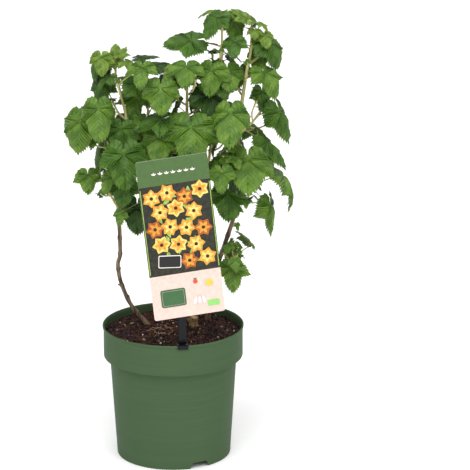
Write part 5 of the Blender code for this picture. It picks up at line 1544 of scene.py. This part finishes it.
def make_pot():
    """The pot, turned from its section, with the openings of its foot ring and floor cut out."""
    under, outside, inside = pot_profile()
    pile = Pile(pot_look())
    pile.add(*turned_skin(rounded(under + outside + inside, POT_ROUNDING), POT_SIDES))
    pot = pile.piece("pot_shell", "pot", "pot")
    cutters = bpy.data.collections.new("cutters")
    bpy.context.scene.collection.children.link(cutters)
    for azimuth in NOTCH_AZIMUTHS:
        cutter("notch", notch_skin(azimuth), cutters)
    for i in range(DRAINS):
        turn = 2 * math.pi * (i + 0.5) / DRAINS
        at = Vector((DRAIN_RING * math.cos(turn), DRAIN_RING * math.sin(turn), 0))
        cutter("drain", tube_skin([at, at + UP * FLOOR_RISE * 2], [DRAIN_RADIUS] * 2, DRAIN_SIDES), cutters)
    modifier = pot.modifiers.new("openings", "BOOLEAN")
    modifier.operand_type = "COLLECTION"
    modifier.collection = cutters
    modifier.solver = "EXACT"
    pot.data = bpy.data.meshes.new_from_object(pot.evaluated_get(bpy.context.evaluated_depsgraph_get()))
    pot.modifiers.clear()
    for other in list(cutters.objects):
        bpy.data.objects.remove(other, do_unlink=True)
    bpy.data.collections.remove(cutters)
    pot.data.shade_smooth()
    pot.data.set_sharp_from_angle(angle=math.radians(POT_SHARP))


# Soil

CRUMBS = 2600
CRUMB_SIZE = (0.0007, 0.0020)  # the least, and what the largest gain
CHIPS = 260
CHIP_SIZE = (0.0016, 0.0034)
FIBRES = 300
FIBRE_LENGTH = (0.006, 0.022)
ROOTLET_LENGTH = (0.012, 0.026)
FIBRE_RADIUS = 0.00036
ROOTLET_RADIUS = 0.00034
FIBRE_POINTS = 7
PERLITE = 26
PERLITE_SIZE = (0.0006, 0.0014)
SCRAP_SIZE = (0.0012, 0.0022)
# How far out these lie, as shares of the soil's radius
CRUMB_REACH, CHIP_REACH, LOOSE_REACH, FIBRE_REACH = 0.985, 0.95, 0.9, 0.97
ROOTLETS_EACH = 6  # pale rootlets at each of their places
SCRAPS_EACH = 4
SOIL_SIDES = 130
SOIL_RINGS = 46
# The soil's bumps: how high, and how often for each metre
HUMPS = (0.0022, 55)
CLODS = (0.0012, 190)
PEAT = ((20, 12, 9), (45, 28, 22))
CRUMB_COLOURS = {"crumb dark": ((18, 11, 10), (36, 23, 21)), "crumb brown": ((40, 26, 23), (70, 48, 43)),
                 "crumb reddish": ((74, 40, 31), (110, 67, 53)),
                 "crumb pale": ((138, 116, 96), (178, 154, 128)),
                 "crumb purplish": ((48, 35, 43), (86, 69, 79))}
# How often crumbs and chips are dark, brown, reddish, purplish and pale
CRUMB_SLOTS = (0, 1, 2, 4, 3)
CRUMB_ODDS = (8, 5, 3, 3, 0.6)
CHIP_ODDS = (3, 4, 4, 3, 1)
PALE_ROOTLETS = ((-0.022, -0.008), (-0.008, 0.002), (-0.012, -0.020))
LEAF_SCRAPS = ((-0.056, 0.020), (-0.003, 0.028), (0.034, 0.010), (0.024, 0.030))


def wall_radius(height):
    """The radius of the pot's inner wall at a height in its band."""
    foot = POT_HEIGHT - BAND_HEIGHT + WALL
    share = (height - foot) / (POT_HEIGHT - foot)
    return mix((BAND_FOOT_RADIUS - WALL, RIM_RADIUS - LIP - WALL), share) - GAP


SOIL_RADIUS = wall_radius(SOIL_EDGE)


def soil_height(x, y):
    """The soil's uneven surface."""
    base = np.interp(math.hypot(x, y), (SOIL_FLAT_RADIUS, SOIL_SHOULDER_RADIUS, SOIL_RADIUS),
                     (SOIL_TOP, SOIL_SHOULDER, SOIL_EDGE))
    place = Vector((x, y, 0))
    for height, often in (HUMPS, CLODS):
        base += noise.noise(place * often) * height
    return base - CLODS[0] / 2


def peat_look(name, dark, light):
    """Rough and matt, mottled between two colours."""
    look = Look(name, dark, 0.95, Specular_IOR_Level=0.25)
    look.mottle(look.noise(420, 5.0), (0.36, dark), (0.72, light))
    return look.bump(look.noise(800), 0.0006).made


def soil_skin():
    """The soil as one solid: an uneven top, and sides and an underside that follow the pot's inside."""
    inside = pot_profile()[2]
    below = [(max(radius - GAP, 0), height + GAP) for radius, height in reversed(inside[2:])]
    top = [(SOIL_RADIUS * (1 - i / SOIL_RINGS), SOIL_EDGE) for i in range(SOIL_RINGS)]
    points, faces = turned_skin(below + top + [(0, SOIL_TOP)], SOIL_SIDES)
    first = 1 + (len(below) - 1) * SOIL_SIDES
    points = [(x, y, soil_height(x, y)) if i >= first else (x, y, z) for i, (x, y, z) in enumerate(points)]
    return points, faces


def scatter(rng, reach):
    """A place on the soil within a share of its radius."""
    radius, turn = SOIL_RADIUS * reach * math.sqrt(rng.random()), rng.uniform(0, 6.28)
    return radius * math.cos(turn), radius * math.sin(turn)


def add_grain(pile, place, lift, size, rng, slot=0, stretch=(1, 1, 1)):
    """A crumb that lies on the soil."""
    add_lump(pile, (*place, soil_height(*place) + lift), size, rng, slot, stretch)


def add_fibre(pile, place, length, radius, rng, slot=0):
    """A thin root or fibre that lies in loose bends on the soil."""
    turn = rng.uniform(0, 6.28)
    x, y = place
    points = []
    for i in range(FIBRE_POINTS):
        share = i / (FIBRE_POINTS - 1)
        lift = radius + 0.0012 * math.sin(math.pi * share) * rng.uniform(0.3, 1.2)
        points.append(Vector((x, y, soil_height(x, y) + lift)))
        turn += rng.gauss(0, 0.35)
        x += math.cos(turn) * length / (FIBRE_POINTS - 1)
        y += math.sin(turn) * length / (FIBRE_POINTS - 1)
        if math.hypot(x, y) > SOIL_RADIUS * FIBRE_REACH:
            break
    if len(points) > 2:
        pile.add(*tube_skin(points, taper(points, radius, radius * 0.4), 5), slot)


def make_soil():
    """The potting mix, and what lies on it: crumbs, bark chips, fibres, rootlets, perlite and leaf scraps."""
    rng = random.Random("soil")
    pile = Pile(peat_look("peat", *PEAT))
    pile.add(*soil_skin())
    pile.piece("potting_mix", "soil", "soil", sharp=50)

    crumbs = Pile(*[peat_look(name, *colours) for name, colours in CRUMB_COLOURS.items()])
    for _ in range(CRUMBS):
        place = scatter(rng, CRUMB_REACH)
        size = CRUMB_SIZE[0] + CRUMB_SIZE[1] * rng.random() ** 3
        slot = rng.choices(CRUMB_SLOTS, CRUMB_ODDS)[0]
        stretch = (1, rng.uniform(0.5, 1), rng.uniform(0.5, 0.9))
        add_grain(crumbs, place, size * 0.35, size, rng, slot, stretch)
    for _ in range(CHIPS):
        place = scatter(rng, CHIP_REACH)
        size = rng.uniform(*CHIP_SIZE)
        slot = rng.choices(CRUMB_SLOTS, CHIP_ODDS)[0]
        stretch = (1, rng.uniform(0.25, 0.5), rng.uniform(0.18, 0.35))
        add_grain(crumbs, place, size * 0.3, size, rng, slot, stretch)
    crumbs.piece("soil_crumbs", "soil", "soil", smooth=False)

    fibres = Pile(peat_look("fibre brown", (92, 54, 39), (130, 84, 60)),
                  peat_look("fibre pale", (176, 146, 108), (212, 184, 146)))
    for _ in range(FIBRES):
        add_fibre(fibres, scatter(rng, LOOSE_REACH), rng.uniform(*FIBRE_LENGTH), FIBRE_RADIUS, rng)
    for x, y in PALE_ROOTLETS:
        for _ in range(ROOTLETS_EACH):
            place = x + rng.gauss(0, 0.003), y + rng.gauss(0, 0.002)
            add_fibre(fibres, place, rng.uniform(*ROOTLET_LENGTH), ROOTLET_RADIUS, rng, 1)
    fibres.piece("soil_fibres", "soil", "soil")

    perlite = Look("perlite", (222, 218, 208), 0.85)
    perlite.mottle(perlite.noise(600), (0.3, (196, 190, 178)), (0.7, (236, 233, 226)))
    grains = Pile(perlite.made, peat_look("leaf scrap", (156, 140, 70), (190, 176, 100)))
    for _ in range(PERLITE):
        place = scatter(rng, LOOSE_REACH)
        size = rng.uniform(*PERLITE_SIZE)
        add_grain(grains, place, size * 0.5, size, rng)
    for x, y in LEAF_SCRAPS:
        for _ in range(SCRAPS_EACH):
            place = x + rng.gauss(0, 0.002), y + rng.gauss(0, 0.0015)
            size = rng.uniform(*SCRAP_SIZE)
            add_grain(grains, place, 0.001, size, rng, 1, (1, rng.uniform(0.4, 0.7), 0.3))
    grains.piece("soil_grains", "soil", "soil", smooth=False)


# Label

PICTURE_FOOT = 0.060
PICTURE_TOP = 0.182
PRINT_HEIGHT = 0.00003  # how far the first printed shape stands out of the card
PRINT_STEP = 0.0000025
CORNER_STEPS = 5
PETAL_STEPS = 8


def card_place(x, z, out):
    """A place on the card, from the middle of its foot, and how far it stands out of the front."""
    cosine, sine = math.cos(CARD_ROLL), math.sin(CARD_ROLL)
    point = Vector((CARD_FOOT[0] + x * cosine - z * sine, CARD_FOOT[1] - CARD_THICK / 2 - out,
                    CARD_FOOT[2] + x * sine + z * cosine))
    return turn_about_axis([point], LABEL_TURN)[0]


def placed(points, x, z, turn):
    """The points of an outline, turned and moved to their place on the card."""
    cosine, sine = math.cos(turn), math.sin(turn)
    return [(x + a * cosine - b * sine, z + a * sine + b * cosine) for a, b in points]


def pad(x, z, width, height, corner, turn=0.0):
    """The outline of a rectangle with round corners."""
    points = []
    for side, foot, first in ((1, -1, -90), (1, 1, 0), (-1, 1, 90), (-1, -1, 180)):
        for step in range(CORNER_STEPS):
            at = math.radians(first + 90 * step / (CORNER_STEPS - 1))
            points.append((side * (width / 2 - corner) + corner * math.cos(at),
                           foot * (height / 2 - corner) + corner * math.sin(at)))
    return placed(points, x, z, turn)


def disc(x, z, radius, sides=22):
    """The outline of a disc."""
    turns = [2 * math.pi * i / sides for i in range(sides)]
    return [(x + radius * math.cos(turn), z + radius * math.sin(turn)) for turn in turns]


def petal(x, z, length, width, turn):
    """The outline of a leaf or petal with two pointed ends, from its foot."""
    shares = [i / PETAL_STEPS for i in range(PETAL_STEPS + 1)]
    lower = [(length * share, -width / 2 * math.sin(math.pi * share ** 0.8)) for share in shares]
    upper = [(length * share, width / 2 * math.sin(math.pi * share ** 0.8)) for share in shares[-2:0:-1]]
    return placed(lower + upper, x, z, turn)


def print_look(name, colour, second=None):
    """Printed card with a satin coat; a second colour mottles it."""
    look = Look(name, colour, 0.42, Specular_IOR_Level=0.4)
    look.mottle(look.noise(220, 3.0), (0.35, colour), (0.65, second or [part * 0.95 for part in colour]))
    return look.bump(look.noise(1500), 0.00002).made


class Print:
    """Flat shapes on the card's front, each a hair prouder than the last, so that they can overlap."""

    def __init__(self, inks):
        self.pile = Pile(*[print_look(name, *colours) for name, colours in inks.items()])
        self.slots = {name: slot for slot, name in enumerate(inks)}
        self.height = PRINT_HEIGHT

    def add(self, shape, ink):
        """Print one shape."""
        self.height += PRINT_STEP
        count = len(shape)
        points = [card_place(x, z, out) for out in (self.height, -CARD_THICK / 4) for x, z in shape]
        faces = [list(range(count)), list(range(2 * count - 1, count - 1, -1))]
        faces += [(i, i + count, (i + 1) % count + count, (i + 1) % count) for i in range(count)]
        self.pile.add(points, faces, self.slots[ink])

    def add_rays(self, x, z, length, width, count, ink, first=0.0):
        """Print petals or rays all round a centre."""
        for i in range(count):
            self.add(petal(x, z, length, width, first + i * math.pi / (count / 2)), ink)


def make_card():
    """The card: a green band, a dark picture and a pale foot on its front, and a white back."""
    corner = pad(0, CARD_HEIGHT / 2, CARD_WIDTH, CARD_HEIGHT, CARD_CORNER)
    n, half = CORNER_STEPS, CARD_WIDTH / 2
    right = [(half, PICTURE_FOOT), (half, PICTURE_TOP)]
    left = [(-half, PICTURE_TOP), (-half, PICTURE_FOOT)]
    shape = corner[:n] + right + corner[n:3 * n] + left + corner[3 * n:]
    count = len(shape)
    front = [card_place(x, z, 0) for x, z in shape]
    back = [card_place(x, z, -CARD_THICK) for x, z in shape]
    card = Pile(print_look("card white", (236, 232, 224)), print_look("card green", (77, 107, 56)),
                print_look("card dark", (30, 24, 24), (44, 50, 28)), print_look("card pink", (240, 209, 197)))
    sides = [(i, i + count, (i + 1) % count + count, (i + 1) % count) for i in range(count)]
    card.add(front + back, sides + [list(range(2 * count - 1, count - 1, -1))])
    a, b, c, d = n, n + 1, 3 * n + 2, 3 * n + 3  # the ends of the picture's lower and upper borders
    bands = [(list(range(a + 1)) + list(range(d, count)), 3), ([a, b, c, d], 2), (list(range(b, c + 1)), 1)]
    for face, slot in bands:
        card.faces.append(face)
        card.slots.append(slot)
    card.piece("label_card_face", "card", "label_card", smooth=False)


# The colours of each ink: the first, and one that mottles it
INKS = {"amber": ((232, 176, 66), (214, 132, 40)), "straw": ((246, 222, 128), (232, 190, 84)),
        "rust": ((190, 104, 34), (150, 72, 24)), "lime": ((168, 196, 92), (120, 158, 62)),
        "seed": ((58, 26, 16),), "plate green": ((62, 104, 62),), "pale rim": ((252, 243, 236),),
        "tomato": ((226, 84, 62),), "sunny": ((246, 206, 70),), "sketch": ((206, 186, 184),),
        "plate black": ((30, 26, 28),), "fresh green": ((150, 214, 120),)}
PRINTED_LEAVES = 34
BLOSSOMS = ((-0.032, 0.166), (-0.011, 0.171), (0.011, 0.163), (0.032, 0.170), (-0.023, 0.146),
            (-0.002, 0.149), (0.021, 0.142), (-0.032, 0.124), (-0.012, 0.125), (0.009, 0.121),
            (0.031, 0.118), (-0.026, 0.102), (-0.004, 0.100), (0.019, 0.097), (0.032, 0.078), (0.008, 0.076))
# The inks of a blossom's petals and of the glow on them
BLOSSOM_INKS = (("amber", "straw"), ("rust", "amber"), ("amber", "straw"), ("straw", "amber"))
PRINTED_SUN = (0.030, 0.042)


def make_print():
    """A made-up garden picture of amber blossoms and leaves, and small plain ornaments."""
    art = Print(INKS)
    rng = random.Random("picture")
    for _ in range(PRINTED_LEAVES):
        x, z = rng.uniform(-0.033, 0.033), rng.uniform(PICTURE_FOOT + 0.014, PICTURE_TOP - 0.014)
        length, width = rng.uniform(0.008, 0.013), rng.uniform(0.004, 0.006)
        art.add(petal(x, z, length, width, rng.uniform(0, 6.28)), "lime")
    for x, z in BLOSSOMS:
        first = rng.uniform(0, 6.28)
        body, glow = rng.choice(BLOSSOM_INKS)
        art.add_rays(x, z, 0.0125, 0.0100, 6, body, first)
        art.add_rays(x, z, 0.0095, 0.0044, 6, glow, first)
        art.add(disc(x, z, 0.0024), "seed")
    # A framed plate over the picture
    art.add(pad(-0.018, 0.078, 0.030, 0.017, 0.002, -0.12), "pale rim")
    art.add(pad(-0.018, 0.078, 0.028, 0.015, 0.0015, -0.12), "plate black")
    # Sprigs on the green band
    for i in range(-3, 4):
        for lean in (0.6, 1.57, 2.54):
            art.add(petal(i * 0.0085, PICTURE_TOP + 0.0145, 0.0042, 0.0016, lean), "pale rim")
    # A framed green plate, a sun and a fruit on the foot
    art.add(pad(-0.019, 0.028, 0.033, 0.024, 0.0028), "plate green")
    art.add(pad(-0.019, 0.028, 0.029, 0.020, 0.0020), "sketch")
    art.add(pad(-0.019, 0.028, 0.0284, 0.0194, 0.0018), "plate green")
    art.add_rays(*PRINTED_SUN, 0.0068, 0.0012, 10, "sunny")
    art.add(disc(*PRINTED_SUN, 0.0036), "sunny")
    art.add(disc(0.012, 0.046, 0.0030), "tomato")
    for lean in (0.9, 2.2):
        art.add(petal(0.012, 0.0485, 0.0034, 0.0014, lean), "plate green")
    # A green block, and shoots beside it
    art.add(pad(0.033, 0.014, 0.016, 0.008, 0.0015), "fresh green")
    for i, x in enumerate((0.008, 0.015, 0.022)):
        art.add(petal(x, 0.014, 0.013, 0.0055, 1.3 + 0.25 * i), "sketch")
        art.add(petal(x, 0.0146, 0.0118, 0.0045, 1.3 + 0.25 * i), "pale rim")
    # Dots under the picture, and lines down its sides
    for i in range(-4, 5):
        art.add(disc(i * 0.0095, PICTURE_FOOT - 0.0035, 0.0006, 12), "sketch")
    for side in (-1, 1):
        art.add(pad(side * (CARD_WIDTH / 2 - 0.0016), 0.121, 0.0012, 0.116, 0.0005), "lime")
    art.pile.piece("label_print", "card", "label_card", smooth=False)


def make_holder():
    """The holder: a strip behind the card, with a clip over the pot's rim."""
    look = Look("holder plastic", (7, 8, 14), 0.42, Specular_IOR_Level=0.25)
    look.bump(look.noise(900), 0.00004).rough(look.noise(60), 0.30, 0.46)
    front = CARD_FOOT[1] + CARD_THICK / 2 + GAP
    back = front + STRIP_THICK
    half, clip = STRIP_WIDTH / 2, CLIP_WIDTH / 2
    above = POT_HEIGHT + GAP
    inner = -RIM_RADIUS - GAP
    outer = inner - CLIP_THICK
    boxes = [((-half, front, STRIP_FOOT), (half, back, STRIP_TOP)),
             ((-clip, outer, above), (clip, back, above + CLIP_THICK)),
             ((-clip, outer, above - CLIP_DROP), (clip, inner, above + CLIP_THICK))]
    pile = Pile(look.made)
    for low, high in boxes:
        points, faces = soft_box(low, high, 0.0004)
        pile.add(turn_about_axis(points, LABEL_TURN), faces)
    pile.piece("label_stake", "holder", "label_holder", sharp=40)


# Floor, light and camera

FLOOR_REACH = 14
FLOOR_DEPTH = 0.0002  # below the pot's foot
FILL_PLACE = (2.4, -2.6, 1.6)
FILL_TARGET = (0.02, 0, 0.3)
FILL_SIZE = 1.6
FILL_POWER = 10
# Strength, spread in degrees, and the way towards each sun
SUNS = {"key": (2.7, 65, (-0.08, -1.0, 1.42)), "back": (1.0, 70, (0.2, 1.0, 1.2))}
SKY_STRENGTH = 0.42
CAMERA_PLACE = (0.0833, -3.5, 1.3514)
CAMERA_PITCH = 16.64  # below level
LENS = 209.8


def make_floor():
    """A wide, plain, nearly white floor."""
    look = Look("floor", (253, 253, 253), 0.8)
    look.mottle(look.noise(1.5), (0.3, (252, 252, 252)), (0.7, (255, 255, 255)))
    corners = [(x * FLOOR_REACH, y * FLOOR_REACH, 0) for x, y in ((-1, -1), (1, -1), (1, 1), (-1, 1))]
    mesh = bpy.data.meshes.new("floor")
    mesh.from_pydata(corners, [], [(0, 1, 2, 3)])
    mesh.materials.append(look.made)
    floor = put("floor", mesh)
    floor.location.z = -FLOOR_DEPTH


def make_lights():
    """A weak square lamp at the right, two wide soft suns, and a white sky."""
    light = bpy.data.lights.new("fill", "AREA")
    light.shape = "RECTANGLE"
    light.size = light.size_y = FILL_SIZE
    light.energy = FILL_POWER
    lamp = put("fill", light)
    lamp.location = FILL_PLACE
    lamp.rotation_euler = (Vector(FILL_TARGET) - Vector(FILL_PLACE)).to_track_quat("-Z", "Y").to_euler()
    for name, (strength, spread, towards) in SUNS.items():
        sun = bpy.data.lights.new(name, "SUN")
        sun.energy = strength
        sun.angle = math.radians(spread)
        put(name, sun).rotation_euler = Vector(towards).to_track_quat("Z", "Y").to_euler()
    world = bpy.data.worlds.new("studio")
    world.use_nodes = True
    sky = world.node_tree.nodes["Background"].inputs
    sky["Color"].default_value = (1.0, 1.0, 1.0, 1)
    sky["Strength"].default_value = SKY_STRENGTH
    bpy.context.scene.world = world
    bpy.context.scene.view_settings.view_transform = "Standard"


def make_camera():
    """The camera of the photo, nearly level and far away."""
    data = bpy.data.cameras.new("camera")
    data.lens = LENS
    data.sensor_width = 36
    data.clip_end = 60
    camera = put("camera", data)
    camera.location = CAMERA_PLACE
    camera.rotation_euler = (math.radians(90 - CAMERA_PITCH), 0, 0)
    bpy.context.scene.camera = camera


make_camera()
make_floor()
make_lights()
make_pot()
make_soil()
make_stump()
make_canes()
make_card()
make_print()
make_holder()
make_foliage(*grow())
